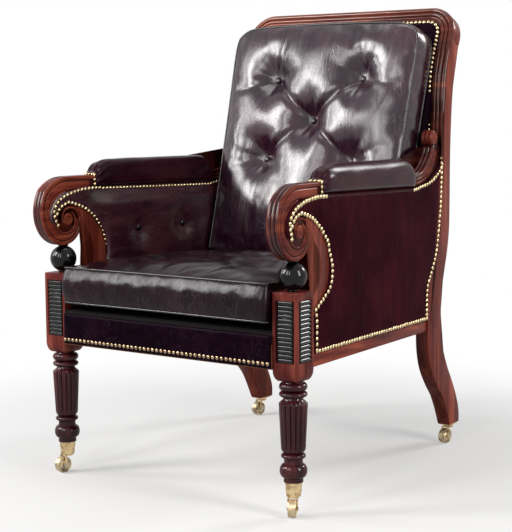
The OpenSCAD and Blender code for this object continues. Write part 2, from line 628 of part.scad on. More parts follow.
// Leather inside and outside the arms
module side_leather(left) color("#3a1a20") at_side(left) plate(arm_h - hide_sink,
    hide_t) polygon(window(leather_z));
module inner_leather(left) color("#2b1a20") at_side(left) plate(-arm_h - hide_out,
    hide_t) polygon(window(deck_z0 + cut));
squab_s = [2 * stile_s, 0.7 * side_run];
squab_z = [squab_low, band_back_z - squab_edge];
squab_button_shares = [[0.3, 0.62], [0.7, 0.62]];
// How far a button draws a face in at p: fully under the button, then less and less
function dent(p, b, wide) = exp(-pow(max(0, norm(p - b) - 1.8 * button_r) / wide, 2));
function squab_at(u, v) = [mix(squab_s[0], squab_s[1], u), mix(squab_z[0], squab_z[1], v)];
function squab_plain(u, v) = squab_crown * pow((1 - pow(2 * u - 1, 6)) * (1 - pow(2 * v - 1, 4)), 0.7);
function squab_swell(u, v) = let (h = squab_plain(u, v)) h - max([for (b = squab_button_shares)
    dent(squab_at(u, v), squab_at(b[0], b[1]), 2 * button_r) * (h - squab_plain(b[0],
        b[1]) + squab_crown * 0.6)]);
squab_line_shares = [0, 0.03, 0.08, 0.16, 0.24, 0.277, 0.3, 0.323, 0.38, 0.5, 0.62, 0.677, 0.7, 0.723,
    0.78, 0.86, 0.93, 0.97, 1];
squab_row_shares = [0, 0.04, 0.12, 0.25, 0.4, 0.53, 0.58, 0.62, 0.66, 0.75, 0.87, 0.95, 1];
squab_face = -arm_h - hide_out;
module squab_solid() {
    top = [for (v = squab_row_shares) for (u = squab_line_shares) concat(squab_face - squab_rim
        - squab_swell(u, v), squab_at(u, v))];
    low = [for (p = top) [squab_face, p[1], p[2]]];
    quilt(top, low, len(squab_line_shares) - 1, len(squab_row_shares) - 1);
}
// Closed solid between two grids of (nu + 1) x (nv + 1) points
module quilt(a, b, nu, nv) {
    n = nu + 1;
    c = len(a);
    polyhedron(concat(a, b), concat(
        [for (j = [0:nv - 1]) for (i = [0:nu - 1]) each [[j * n + i, j * n + i + 1,
            (j + 1) * n + i + 1], [j * n + i, (j + 1) * n + i + 1, (j + 1) * n + i]]],
        [for (j = [0:nv - 1]) for (i = [0:nu - 1]) each [[c + j * n + i, c + (j + 1) * n + i + 1,
            c + j * n + i + 1], [c + j * n + i, c + (j + 1) * n + i, c + (j + 1) * n + i + 1]]],
        [for (i = [0:nu - 1]) each [[i + 1, i, c + i], [i + 1, c + i, c + i + 1]]],
        [for (i = [0:nu - 1]) let (k = nv * n) each [[k + i, k + i + 1, c + k + i], [k + i + 1,
            c + k + i + 1, c + k + i]]],
        [for (j = [0:nv - 1]) each [[j * n, (j + 1) * n, c + j * n], [(j + 1) * n, c + (j + 1) * n,
            c + j * n]]],
        [for (j = [0:nv - 1]) let (k = nu) each [[(j + 1) * n + k, j * n + k, c + j * n + k],
            [(j + 1) * n + k, c + j * n + k, c + (j + 1) * n + k]]]), 4);
}
module inner_squab(left) color("#2b1a20") at_side(left) squab_solid();
module squab_button_set(left) color("#20141a") at_side(left) for (b = squab_button_shares)
    translate(concat(squab_face - squab_rim - squab_swell(b[0], b[1]) - seat_gap / 3, squab_at(b[0], b[1])))
    rotate([0, -90, 0]) cylinder(h = button_t * 0.6, r1 = button_r, r2 = button_r * 0.7);

// Upholstered back
meets = [for (q = edge_front) if (q[1] > back_foot_z && q[0] <= lean_s(q[1])) q[1]];
meet_z = len(meets) > 0 ? meets[0] : joint_z;
crest_in = crest_up - crest_face;
crest_in_front = [joint_s + crest_in * sin(crest_lean), joint_z + crest_in * cos(crest_lean)];
lean_back = [cos(crest_lean), -sin(crest_lean)];
inside_low = deck_z0 + cut;
inside_profile = concat([[lean_s(inside_low), inside_low], [lean_s(meet_z), meet_z]],
    [for (q = between(edge_front, meet_z + step, joint_z - cut)) [max(q[0], lean_s(q[1])), q[1]]],
        [[joint_s, joint_z], crest_in_front, crest_in_front + back_depth * lean_back],
    [[joint_s, joint_z] + back_depth * lean_back], flip([for (q = between(edge_front, inside_low + step,
        joint_z - back_depth)) q + [back_depth, 0]]),
    [[at_z(edge_front, inside_low) + back_depth, inside_low]]);
module inside_back() color("#2b1a20") at_mid() intersection() {
    across(crest_half) polygon(inside_profile);
    plan(upright_in - hide_sink - seat_gap, deck_s1 - 2 * back_depth, crest_rear, 0, height);
    inside_arch();
}
module inside_arch() translate([0, joint_s, joint_z]) rotate([-crest_lean, 0, 0]) rotate([90, 0, 0])
    translate([0, 0, -height]) linear_extrude(2 * height) polygon(concat([[crest_half, -height]],
    [for (q = crest_line(crest_face + seat_gap)) q[1] > cut ? q : [sign(q[0]) * crest_half, 0]],
        [[-crest_half, -height]]));
outside_edge = concat([[at_z(edge_rear, leather_z), leather_z]], between(edge_rear, leather_z + step,
    joint_rear[1] - step / 2), [joint_rear],
    [joint_rear + crest_in * [sin(crest_lean), cos(crest_lean)]]);
module outside_back() color("#3a1a20") at_mid() intersection() {
    across(crest_half) polygon(concat([for (q = outside_edge) q - [hide_t + hide_out, 0]],
        flip([for (q = outside_edge) q - [hide_out, 0]])));
    plan(upright_in - seat_gap, back_rail_s, crest_rear, 0, height);
    inside_arch();
}

// Castors
module castor_cup(left) color("#c9a35a") mirror([left ? 1 : 0, 0, 0]) translate([leg_x, -setback,
    0]) difference() {
    translate([0, 0, cup_bottom]) cylinder(h = cup_top - cup_bottom, r1 = cup_r_foot, r2 = cup_r_top);
    translate([0, 0, cup_bottom + cup_floor]) cylinder(h = cup_top, r = tenon_r);
    translate([0, 0, cup_bottom - cut]) cylinder(h = cup_top, r = stem_r + pin_gap);
}
back_pin_o = upright_in + upright_t / 2;
module castor_plate(left) color("#c9a35a") at_side(left) translate([back_pin_o, foot_s, 0]) difference() {
    union() {
        translate([-upright_t * 0.44, -upright_t * 0.6, foot_z - plate_t]) cube([upright_t * 0.88,
            upright_t * 1.2, plate_t]);
        translate([0, 0, cup_bottom]) cylinder(h = foot_z - cup_bottom - plate_t / 2, r = crown_r);
    }
    translate([0, 0, cup_bottom - cut]) cylinder(h = height, r = stem_r + pin_gap);
}
front_pin = [leg_x, -setback];
back_pin = [leg_x + back_pin_o * cos(splay) - foot_s * sin(splay),
    back_pin_o * sin(splay) + foot_s * cos(splay) - setback];
// A castor stands at its swivel axis and trails at its resting angle from straight ahead
module at_castor(pin, left, rest) translate([left ? -pin[0] : pin[0], pin[1], 0]) rotate([0, 0,
    rest]) children();
horn_top = cup_bottom - run_gap;
cheek_in = wheel_w / 2 + run_gap;
cheek_side = [[-crown_r * 0.5, horn_top - crown_t], [crown_r * 0.9, horn_top - crown_t], [crown_r * 0.8,
    wheel_r * 1.3],
    [trail - trail * 0.55, wheel_r], [trail - trail * 0.3, wheel_r * 0.72], [trail, wheel_r * 0.66],
        [trail + trail * 0.35, wheel_r * 0.8],
    [trail + trail * 0.35, wheel_r * 1.2], [trail * 1.05, wheel_r * 1.75], [trail, horn_top]];
module horn(pin, left, rest) color("#b98d45") at_castor(pin, left, rest) difference() {
    union() {
        translate([0, 0, horn_top - crown_t]) cylinder(h = crown_t, r = crown_r);
        translate([-cheek_in - cheek_t, -trail, horn_top - crown_t]) cube([2 * (cheek_in + cheek_t),
            trail, crown_t]);
        translate([0, 0, horn_top - cut]) cylinder(h = stem_l - crown_t + cut, r = stem_r);
        for (o = [-cheek_in - cheek_t, cheek_in]) mirror([0, 1, 0]) plate(o, cheek_t) polygon(cheek_side);
    }
    translate([-wheel_w, -trail, wheel_r]) rotate([0, 90, 0]) cylinder(h = 2 * wheel_w, r = axle_r);
}
module axle(pin, left, rest) color("gray") at_castor(pin, left, rest) translate([0, -trail,
    wheel_r]) rotate([0, 90, 0]) {
    translate([0, 0, -cheek_in - cheek_t]) cylinder(h = 2 * (cheek_in + cheek_t), r = axle_r);
    for (z = [-cheek_in - cheek_t - rivet_t, cheek_in + cheek_t]) translate([0, 0,
        z]) cylinder(h = rivet_t, r = axle_r * 1.7);
}
module wheel(pin, left, rest) color("#a08a5a") at_castor(pin, left, rest) translate([0, -trail,
    wheel_r]) rotate([0, 90, 0])
    rotate_extrude() polygon([[axle_r + pin_gap, -wheel_w / 2], [wheel_r * 0.5, -wheel_w / 2],
        [wheel_r * 0.6, -wheel_w * 0.4],
        [wheel_r * 0.8, -wheel_w * 0.4], [wheel_r * 0.86, -wheel_w / 2], [wheel_r * 0.95, -wheel_w / 2],
            [wheel_r, -wheel_w * 0.4],
        [wheel_r, wheel_w * 0.4], [wheel_r * 0.95, wheel_w / 2], [wheel_r * 0.86, wheel_w / 2],
            [wheel_r * 0.8, wheel_w * 0.4],
        [wheel_r * 0.6, wheel_w * 0.4], [wheel_r * 0.5, wheel_w / 2], [axle_r + pin_gap, wheel_w / 2]]);

// Cushions: two crowned faces on a boxed side that pulls in between the corners
seat_tuft_shares = [[-0.48, -0.4], [0.48, -0.4], [0, 0.02], [-0.48, 0.44], [0.48, 0.44]];
across_shares = [-1, -0.96, -0.88, -0.74, -0.6, -0.52, -0.48, -0.44, -0.3, -0.15, -0.04, 0,
    0.04, 0.15, 0.3, 0.44, 0.48, 0.52, 0.6, 0.74, 0.88, 0.96, 1];
seat_row_shares = [-1, -0.96, -0.88, -0.76, -0.6, -0.5, -0.44, -0.4, -0.36, -0.22, -0.1, -0.02,
    0.02, 0.06, 0.2, 0.34, 0.4, 0.44, 0.48, 0.62, 0.8, 0.94, 1];
seat_len = seat_back + seat_front;
function seat_w(v) = (seat_half - (v + 1) / 2 * seat_len * tan(splay)) * (1 - 0.012 * (1 - v * v));
function seat_xy(u, v) = [u * seat_w(v), mix(-seat_front, seat_back,
    (v + 1) / 2) - seat_bow * (1 - u * u) * v];
function swell(u, v, h) = h * pow((1 - pow(abs(u), 2.8)) * (1 - pow(abs(v), 2.8)), 0.6);
seat_z = deck_front_z + seat_gap + seat_belly + seat_side;
function tufted(u, v, p, tufts, spots, crown, depth) = let (h = swell(u, v,
    crown)) h - max([for (i = [0:len(tufts) - 1])
    dent(p, spots[i], 3 * button_r) * (h - swell(tufts[i][0], tufts[i][1],
        crown) + depth)]) * (1 - pow(u, 12)) * (1 - pow(v, 12));
seat_spots = [for (b = seat_tuft_shares) seat_xy(b[0], b[1])];
function seat_top(u, v) = tufted(u, v, seat_xy(u, v), seat_tuft_shares, seat_spots, seat_crown, seat_tuft);
module boxed(top, mid, low, nu, nv) {
    n = nu + 1;
    c = len(top);
    edge = concat([for (i = [0:nu - 1]) i], [for (j = [0:nv - 1]) j * n + nu],
        [for (i = [nu:-1:1]) nv * n + i], [for (j = [nv:-1:1]) j * n]);
    e = len(edge);
    polyhedron(concat(top, low, [for (k = [0:e - 1]) mid[edge[k]]]), concat(
        [for (j = [0:nv - 1]) for (i = [0:nu - 1]) each [[j * n + i, (j + 1) * n + i + 1,
            j * n + i + 1], [j * n + i, (j + 1) * n + i, (j + 1) * n + i + 1]]],
        [for (j = [0:nv - 1]) for (i = [0:nu - 1]) each [[c + j * n + i, c + j * n + i + 1,
            c + (j + 1) * n + i + 1], [c + j * n + i, c + (j + 1) * n + i + 1, c + (j + 1) * n + i]]],
        [for (k = [0:e - 1]) let (m = (k + 1) % e) each [[edge[k], edge[m], 2 * c + m], [edge[k],
            2 * c + m, 2 * c + k]]],
        [for (k = [0:e - 1]) let (m = (k + 1) % e) each [[2 * c + k, 2 * c + m, c + edge[m]],
            [2 * c + k, c + edge[m], c + edge[k]]]]), 4);
}
module at_seat() at_mid() translate([0, -seat_front, seat_z]) rotate([-seat_slope, 0, 0]) translate([0,
    seat_front, 0]) children();
module seat_cushion() color("#2b1a20") at_seat() boxed(
    [for (v = seat_row_shares) for (u = across_shares) let (p = seat_xy(u, v)) [p[0], p[1], seat_top(u,
        v)]],
    [for (v = seat_row_shares) for (u = across_shares) let (p = seat_xy(u, v)) [p[0] * 1.005,
        p[1] + side_bulge * v, -seat_side / 2]],
    [for (v = seat_row_shares) for (u = across_shares) let (p = seat_xy(u, v)) [p[0], p[1],
        -seat_side - swell(u, v, seat_belly)]],
    len(across_shares) - 1, len(seat_row_shares) - 1);
module seat_buttons() color("#20141a") at_seat() for (b = seat_tuft_shares) let (p = seat_xy(b[0], b[1]))
    translate([p[0], p[1], seat_top(b[0], b[1]) + seat_gap / 3]) cylinder(h = button_t * 0.8,
        r1 = button_r, r2 = button_r * 0.7);

// The back cushion lies in its own plane: x across, y up the slope, z toward the sitter
back_tuft_shares = [[-0.48, 0.53], [0.48, 0.53], [0, 0.16], [-0.48, -0.18], [0.48, -0.18]];
back_row_shares = [-1, -0.95, -0.84, -0.68, -0.5, -0.34, -0.22, -0.18, -0.14, -0.02, 0.12, 0.16,
    0.2, 0.34, 0.49, 0.53, 0.57, 0.68, 0.8, 0.88, 0.94, 0.98, 1];
function back_w(v) = back_half * (0.985 + 0.015 * v) * (1 - 0.012 * (1 - v * v));
function back_xy(u, v) = let (up = max(v, 0)) [u * back_w(v) * (1 - 0.035 * pow(up, 10)),
    ((v + 1) / 2 - 0.04 * pow(abs(u), 14) * pow(up, 6) - 0.006 * (1 - u * u) * up) * back_h];
back_spots = [for (b = back_tuft_shares) back_xy(b[0], b[1])];
function crease(p, a, b) = let (d = b - a, t = max(0, min(1, ((p - a) * d) / (d * d))))
    exp(-pow(norm(p - a - t * d) / (2 * button_r), 2)) * sin(180 * t);
function back_front(u, v) = let (p = back_xy(u, v)) tufted(u, v, p, back_tuft_shares, back_spots,
    back_crown, tuft)
    - 0.2 * back_crown * max([for (i = [0, 1, 3, 4]) crease(p, back_spots[2], back_spots[i])]);
// The back cushion's foot stands on the seat cushion, and its rear face lies against the inside back
function seat_line(v) = let (s = mix(-seat_front, seat_back, (v + 1) / 2))
    [s, seat_z - (s + seat_front) * tan(seat_slope) + swell(0, v, seat_crown)];
back_low_z = seat_gap + max([for (i = [0:20]) let (q = seat_line(0.6 + 0.4 * i / 20), t = tan(back_lean))
    (q[1] - (back_foot_s - back_foot_z * t - q[0]) * t) / (1 + t * t)]);
module at_back() at_mid() translate([0, lean_s(back_low_z), back_low_z]) rotate([-back_lean, 0,
    0]) rotate([90, 0, 0])
    translate([0, 0, back_belly + seat_gap]) children();
module back_cushion() color("#2b1a20") at_back() boxed(
    [for (v = back_row_shares) for (u = across_shares) let (p = back_xy(u, v)) [p[0], p[1],
        back_side + back_front(u, v)]],
    [for (v = back_row_shares) for (u = across_shares) let (p = back_xy(u, v)) [p[0] * 1.01,
        p[1] + side_bulge * max(v, 0), back_side / 2]],
    [for (v = back_row_shares) for (u = across_shares) let (p = back_xy(u, v)) [p[0], p[1], -swell(u, v,
        back_belly)]],
    len(across_shares) - 1, len(back_row_shares) - 1);
module back_buttons() color("#20141a") at_back() for (b = back_tuft_shares) let (p = back_xy(b[0], b[1]))
    translate([p[0], p[1], back_side + back_front(b[0], b[1]) + seat_gap / 3]) cylinder(h = button_t,
        r1 = button_r, r2 = button_r * 0.7);

front_leg(true);  // front_leg_left
front_leg(false);  // front_leg_right
leg_reed_set(true);  // leg_reeds_left
leg_reed_set(false);  // leg_reeds_right
ball(true);  // ball_left
ball(false);  // ball_right
arm_rail(true);  // arm_rail_left
arm_rail(false);  // arm_rail_right
arm_support(true);  // arm_support_left
arm_support(false);  // arm_support_right
arm_pad(true);  // arm_pad_left
arm_pad(false);  // arm_pad_right
back_leg(true);  // back_leg_left
back_leg(false);  // back_leg_right
crest_rail();
lower_back_rail();
front_seat_rail();
back_seat_rail();
side_rail(true);  // side_rail_left
side_rail(false);  // side_rail_right
corner_blocks();
seat_webbing();
seat_deck();
front_rail_cover();
side_leather(true);  // side_leather_left
side_leather(false);  // side_leather_right
inner_leather(true);  // inner_leather_left
inner_leather(false);  // inner_leather_right
inner_squab(true);  // inner_squab_left
inner_squab(false);  // inner_squab_right
squab_button_set(true);  // squab_buttons_left
squab_button_set(false);  // squab_buttons_right
inside_back();
outside_back();
castor_cup(true);  // castor_cup_left
castor_cup(false);  // castor_cup_right
castor_plate(true);  // castor_plate_left
castor_plate(false);  // castor_plate_right
horn(front_pin, true, rest_fl);  // horn_front_left
horn(front_pin, false, rest_fr);  // horn_front_right
horn(back_pin, true, rest_bl);  // horn_back_left
horn(back_pin, false, rest_br);  // horn_back_right
axle(front_pin, true, rest_fl);  // axle_front_left
axle(front_pin, false, rest_fr);  // axle_front_right
axle(back_pin, true, rest_bl);  // axle_back_left
axle(back_pin, false, rest_br);  // axle_back_right
wheel(front_pin, true, rest_fl);  // wheel_front_left
wheel(front_pin, false, rest_fr);  // wheel_front_right
wheel(back_pin, true, rest_bl);  // wheel_back_left
wheel(back_pin, false, rest_br);  // wheel_back_right
seat_cushion();
seat_buttons();
back_cushion();
back_buttons();
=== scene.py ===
import bpy, bmesh, random
from math import acos, atan2, cos, degrees, exp, pi, radians, sin, sqrt, tan
from mathutils import Matrix, Vector, noise
from mathutils.geometry import delaunay_2d_cdt


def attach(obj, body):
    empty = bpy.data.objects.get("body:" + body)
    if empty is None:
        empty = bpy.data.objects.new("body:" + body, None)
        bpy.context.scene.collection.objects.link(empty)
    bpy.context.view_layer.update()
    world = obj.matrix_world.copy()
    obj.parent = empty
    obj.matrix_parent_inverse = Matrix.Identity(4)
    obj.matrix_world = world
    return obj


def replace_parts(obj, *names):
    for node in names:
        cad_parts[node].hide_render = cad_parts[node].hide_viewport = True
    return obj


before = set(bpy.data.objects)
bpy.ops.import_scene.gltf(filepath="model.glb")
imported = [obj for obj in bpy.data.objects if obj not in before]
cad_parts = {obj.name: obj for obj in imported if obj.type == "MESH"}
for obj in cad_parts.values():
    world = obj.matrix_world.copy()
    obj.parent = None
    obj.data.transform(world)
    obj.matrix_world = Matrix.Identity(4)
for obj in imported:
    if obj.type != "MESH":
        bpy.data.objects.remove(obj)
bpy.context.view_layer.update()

# Sizes in millimetres, the same as the solids'
MM = 0.001
LEG_X, SPLAY, SETBACK = 299.0, radians(2.5), 332.075
EYE, VOLUTE, WIND_FROM, WIND_RATE = (5.0, 557.0), 92.0, 135, 0.0039
CURVE, C_IN, C_OUT = (15.0, 482.0), 66.5, 101.5
RUN, HEIGHT = 700.0, 1020.0
JOINT = (670.0, 945.0)
LEAN, BACK_LEAN, SLOPE = radians(23), radians(15), radians(2)
UP_IN, UP_T = -14.0, 32.0
CREST_D, CREST_FACE, CREST_R = 40.0, 33.0, 66.0
CREST_UP = (HEIGHT - JOINT[1]) / cos(LEAN)
CREST_HALF = LEG_X + UP_IN + UP_T - (JOINT[0] + CREST_D / 2) * sin(SPLAY)
RAIL_FOOT, RAIL_TOP, RAIL_FRONT, RAIL_BACK = 287, 340, 29.8, 557.4
SUPPORT_BACK = 54.0
SIDES = ((True, "left"), (False, "right"))


# Small geometry
def polar(c, r, a):
    """The point at radius r and angle a, in degrees, round c."""
    return (c[0] + r * cos(radians(a)), c[1] + r * sin(radians(a)))


def arc(c, r, a0, a1, n):
    return [polar(c, r, a0 + (a1 - a0) * i / n) for i in range(n + 1)]


def quarter(n):
    """The angles of a quarter turn in n steps."""
    return [pi / 2 * i / n for i in range(n + 1)]


def wind(a):
    """Radius of the scroll's outer edge at an angle."""
    return VOLUTE if a < WIND_FROM else VOLUTE * exp(-WIND_RATE * (a - WIND_FROM))


def coil(a, off=0.0):
    return polar(EYE, wind(a) + off, a)


def distance(p, q):
    return sqrt((p[0] - q[0]) ** 2 + (p[1] - q[1]) ** 2)


def spline(p, n):
    """A smooth curve through the points, with n steps between each two."""
    out = []
    last = len(p) - 1
    for i in range(last):
        a, b, c, d = p[max(i - 1, 0)], p[i], p[i + 1], p[min(i + 2, last)]
        for k in range(n):
            t = k / n
            out.append(tuple((b[j] * 2 + (c[j] - a[j]) * t + (a[j] * 2 - b[j] * 5 + c[j] * 4 - d[j]) * t * t
                              + (b[j] * 3 - a[j] - c[j] * 3 + d[j]) * t ** 3) / 2 for j in range(len(b))))
    out.append(tuple(p[-1]))
    return out


def resample(p, step, closed=False):
    """Points at even steps along a polyline of 2D or 3D points."""
    q = [Vector(v) for v in p]
    if closed:
        q.append(q[0])
    d = [0.0]
    for a, b in zip(q, q[1:]):
        d.append(d[-1] + (b - a).length)
    n = max(2, round(d[-1] / step))
    out, i = [], 0
    for k in range(n + (0 if closed else 1)):
        t = d[-1] * k / n
        while i < len(d) - 2 and d[i + 1] < t:
            i += 1
        f = 0 if d[i + 1] == d[i] else (t - d[i]) / (d[i + 1] - d[i])
        out.append(q[i].lerp(q[i + 1], f))
    return out


def offset(p, off):
    """A polyline moved to its left by off."""
    out = []
    for i in range(len(p)):
        a, b = Vector(p[max(i - 1, 0)]), Vector(p[min(i + 1, len(p) - 1)])
        t = (b - a).normalized()
        out.append((p[i][0] - t.y * off, p[i][1] + t.x * off))
    return out


def inset_outline(p, d):
    """A closed outline moved inward by d; p runs anticlockwise or clockwise."""
    n = len(p)
    twice_area = sum(p[i][0] * p[(i + 1) % n][1] - p[(i + 1) % n][0] * p[i][1] for i in range(n))
    sign = 1 if twice_area > 0 else -1
    out = []
    for i in range(n):
        a, b, c = Vector(p[i - 1]), Vector(p[i]), Vector(p[(i + 1) % n])
        u, v = (b - a).normalized(), (c - b).normalized()
        normal = Vector((-u.y - v.y, u.x + v.x))
        if normal.length < 1e-6:
            normal = Vector((-u.y, u.x))
        normal.normalize()
        k = max(0.5, normal.dot(Vector((-u.y, u.x))))
        out.append(tuple(b + normal * (sign * d / k)))
    return out


def clean(p, tol=0.4):
    """A closed outline without points that all but coincide."""
    out = [p[0]]
    for q in p[1:]:
        if (Vector(q) - Vector(out[-1])).length > tol:
            out.append(q)
    if (Vector(out[0]) - Vector(out[-1])).length < tol:
        out.pop()
    return out


def at_z(p, z):
    """Where a side profile passes height z."""
    for a, b in zip(p, p[1:]):
        if (a[1] - z) * (b[1] - z) <= 0 and a[1] != b[1]:
            return a[0] + (b[0] - a[0]) * (z - a[1]) / (b[1] - a[1])
    return (p[0] if z < p[0][1] else p[-1])[0]


def dist_to(p, line):
    """Distance from a point to a closed outline."""
    best = 1e9
    for a, b in zip(line, line[1:] + line[:1]):
        dx, dy = b[0] - a[0], b[1] - a[1]
        long = dx * dx + dy * dy
        t = 0 if long == 0 else max(0.0, min(1.0, ((p[0] - a[0]) * dx + (p[1] - a[1]) * dy) / long))
        best = min(best, (p[0] - a[0] - t * dx) ** 2 + (p[1] - a[1] - t * dy) ** 2)
    return sqrt(best)


def inside(p, poly):
    c = False
    for i in range(len(poly)):
        a, b = poly[i], poly[i - 1]
        if (a[1] > p[1]) != (b[1] > p[1]) and p[0] < (b[0] - a[0]) * (p[1] - a[1]) / (b[1] - a[1]) + a[0]:
            c = not c
    return c


def rise(d, h, w):
    """A quarter round: 0 at the edge, h from distance w on."""
    t = min(1.0, d / w)
    return h * sqrt(max(0.0, 1 - (1 - t) ** 2))


# Places in the frame
def side(o, s, z, left):
    """In a chair's side: o out from its middle plane, s back from the front leg's axis, at height z."""
    x = LEG_X + o * cos(SPLAY) - s * sin(SPLAY)
    return Vector((-x if left else x, -SETBACK + o * sin(SPLAY) + s * cos(SPLAY), z))


def front(x, s, z):
    return Vector((x, s - SETBACK, z))


def crest(w, h, d):
    """On the crest's plane: across, up the plane, and forward of its front face."""
    y = JOINT[0] - SETBACK + h * sin(LEAN) - d * cos(LEAN)
    return Vector((w, y, JOINT[1] + h * cos(LEAN) + d * sin(LEAN)))


# The back leg's two edges, as shares of the run and of the height
FRONT_SHARES = ((0.969, 0.046), (0.919, 0.11), (0.867, 0.15), (0.824, 0.19), (0.803, 0.23), (0.797, 0.27),
                (0.797, 0.32), (0.797, 0.36), (0.803, 0.385), (0.827, 0.41), (0.861, 0.45), (0.879, 0.5),
                (0.894, 0.57), (0.9, 0.68), (0.903, 0.78), (0.911, 0.84), (0.932, 0.89))
REAR_SHARES = ((1.04, 0.046), (1.038, 0.075), (1.018, 0.11), (0.983, 0.15), (0.943, 0.19), (0.913, 0.23),
               (0.897, 0.27), (0.893, 0.32), (0.9, 0.37), (0.917, 0.41), (0.936, 0.45), (0.95, 0.5),
               (0.953, 0.57), (0.954, 0.68), (0.963, 0.78), (0.977, 0.84), (0.992, 0.88))
JOINT_REAR = (JOINT[0] + CREST_D * cos(LEAN), JOINT[1] - CREST_D * sin(LEAN))
FRONT_EDGE = spline([(s * RUN, z * HEIGHT) for s, z in FRONT_SHARES] + [JOINT], 8)
REAR_EDGE = spline([(s * RUN, z * HEIGHT) for s, z in REAR_SHARES] + [JOINT_REAR], 8)


# Shader nodes
def plug(nt, n, sockets):
    """Sets a node's input sockets: another node's output is linked, anything else is its value."""
    for key, value in sockets.items():
        if isinstance(value, bpy.types.NodeSocket):
            nt.links.new(value, n.inputs[key])
        else:
            n.inputs[key].default_value = value


def node(nt, kind, sockets=None, **attributes):
    n = nt.nodes.new("ShaderNode" + kind)
    for key, value in attributes.items():
        setattr(n, key, value)
    plug(nt, n, sockets or {})
    return n


def calc(nt, operation, a, b=0.0, clamp=False):
    return node(nt, "Math", {0: a, 1: b}, operation=operation, use_clamp=clamp).outputs[0]


def mix_col(nt, fac, a, b, mode="MIX"):
    a, b = [(*c, 1) if isinstance(c, tuple) else c for c in (a, b)]
    return node(nt, "Mix", {0: fac, 6: a, 7: b}, data_type="RGBA", blend_type=mode).outputs[2]


def ramp(nt, fac, stops):
    n = node(nt, "ValToRGB", {0: fac})
    e = n.color_ramp.elements
    while len(e) < len(stops):
        e.new(0.5)
    for i, (place, colour) in enumerate(stops):
        e[i].position = place
        e[i].color = (*colour, 1)
    return n.outputs[0]


def coords(nt, scale=(1, 1, 1)):
    place = node(nt, "TexCoord").outputs["Object"]
    return node(nt, "Mapping", {"Vector": place, "Scale": scale}).outputs[0]


def noise_out(nt, vec, scale, detail=3.0, rough=0.55, distort=0.0, out=0):
    sockets = {"Vector": vec, "Scale": scale, "Detail": detail, "Roughness": rough, "Distortion": distort}
    return node(nt, "TexNoise", sockets).outputs[out]


def bump(nt, bsdf, height, strength, dist):
    n = node(nt, "Bump", {"Strength": strength, "Distance": dist, "Height": height})
    plug(nt, bsdf, {"Normal": n.outputs[0]})


def blank(name):
    m = bpy.data.materials.new(name)
    m.use_nodes = True
    return m, m.node_tree, m.node_tree.nodes["Principled BSDF"]


# Materials
GRAIN = {"x": (0.07, 1, 1), "y": (1, 0.07, 1), "z": (1, 1, 0.07)}


def wood(name, dark, mid, light, grain="z", coat=0.14, rough=0.35, gloss=0.1, relief=0.12):
    m, nt, b = blank(name)
    stretch = GRAIN[grain]
    figure = noise_out(nt, coords(nt, stretch), 26, 5, 0.6, 1.4)
    broad = noise_out(nt, coords(nt), 5.5, 2, 0.5)
    pores = noise_out(nt, coords(nt, [k * (0.35 if k < 1 else 1) for k in stretch]), 420, 2, 0.6)
    swirl = noise_out(nt, coords(nt), 22, 3)
    f = calc(nt, "ADD", calc(nt, "MULTIPLY", figure, 0.7), calc(nt, "MULTIPLY", broad, 0.35))
    colour = ramp(nt, f, [(0.3, dark), (0.52, mid), (0.75, light)])
    shade = ramp(nt, pores, [(0.32, (0.45, 0.4, 0.38)), (0.5, (1, 1, 1))])
    plug(nt, b, {"Base Color": mix_col(nt, 0.55, colour, shade, "MULTIPLY"), "Roughness": rough,
                 "Specular IOR Level": 0.02, "Coat Weight": coat, "Coat Roughness": gloss})
    h = calc(nt, "ADD", calc(nt, "MULTIPLY", pores, 0.4), calc(nt, "MULTIPLY", swirl, 0.6))
    bump(nt, b, h, relief, 0.001)
    return m


# Scale, width and distortion of the scratches in the leather
SCRATCHES = ((14, 0.0025, 0.3), (27, 0.0045, 0.3), (50, 0.009, 0.2))


def leather(name, deep, mid, pale, wrinkle, gloss, pull=(1, 1, 1), crackle=0.5, coat=0.0, spec=0.3):
    """pull stretches streaks and scratches; gloss is the least and the most roughness."""
    m, nt, b = blank(name)
    v, pulled = coords(nt), coords(nt, pull)
    broad = noise_out(nt, v, 7, 3, 0.6, 0.4)
    streak = noise_out(nt, pulled, 34, 5, 0.62, 1.1)
    line = 0.0
    for scale, width, distort in SCRATCHES:
        off = calc(nt, "SUBTRACT", noise_out(nt, pulled, scale, 1.0, 0.5, distort), 0.5)
        far = calc(nt, "DIVIDE", calc(nt, "ABSOLUTE", off), width)
        line = calc(nt, "MAXIMUM", line, calc(nt, "SUBTRACT", 1.0, far, True))
    worn = ramp(nt, noise_out(nt, v, 16, 4, 0.7), [(0.42, (0, 0, 0)), (0.62, (1, 1, 1))])
    fine = mix_col(nt, 1.0, line, worn, "MULTIPLY")
    f = calc(nt, "ADD", calc(nt, "MULTIPLY", broad, 0.6), calc(nt, "MULTIPLY", streak, 0.45))
    colour = ramp(nt, f, [(0.34, deep), (0.52, mid), (0.74, pale)])
    scuff = tuple(c * 1.6 + 0.06 for c in pale)
    rough = node(nt, "MapRange", {"Value": streak, "From Min": 0.3, "From Max": 0.72,
                                  "To Min": gloss[0], "To Max": gloss[1]})
    plug(nt, b, {"Base Color": mix_col(nt, calc(nt, "MULTIPLY", fine, crackle), colour, scuff),
                 "Roughness": rough.outputs[0], "Coat Weight": coat, "Coat Roughness": 0.16,
                 "Specular IOR Level": spec})
    grain = calc(nt, "MULTIPLY", noise_out(nt, v, 620, 3, 0.6), 0.10)
    h = calc(nt, "ADD", calc(nt, "MULTIPLY", streak, wrinkle), grain)
    h = calc(nt, "SUBTRACT", h, calc(nt, "MULTIPLY", fine, 0.16 * crackle))
    bump(nt, b, h, 0.55, 0.0022)
    return m


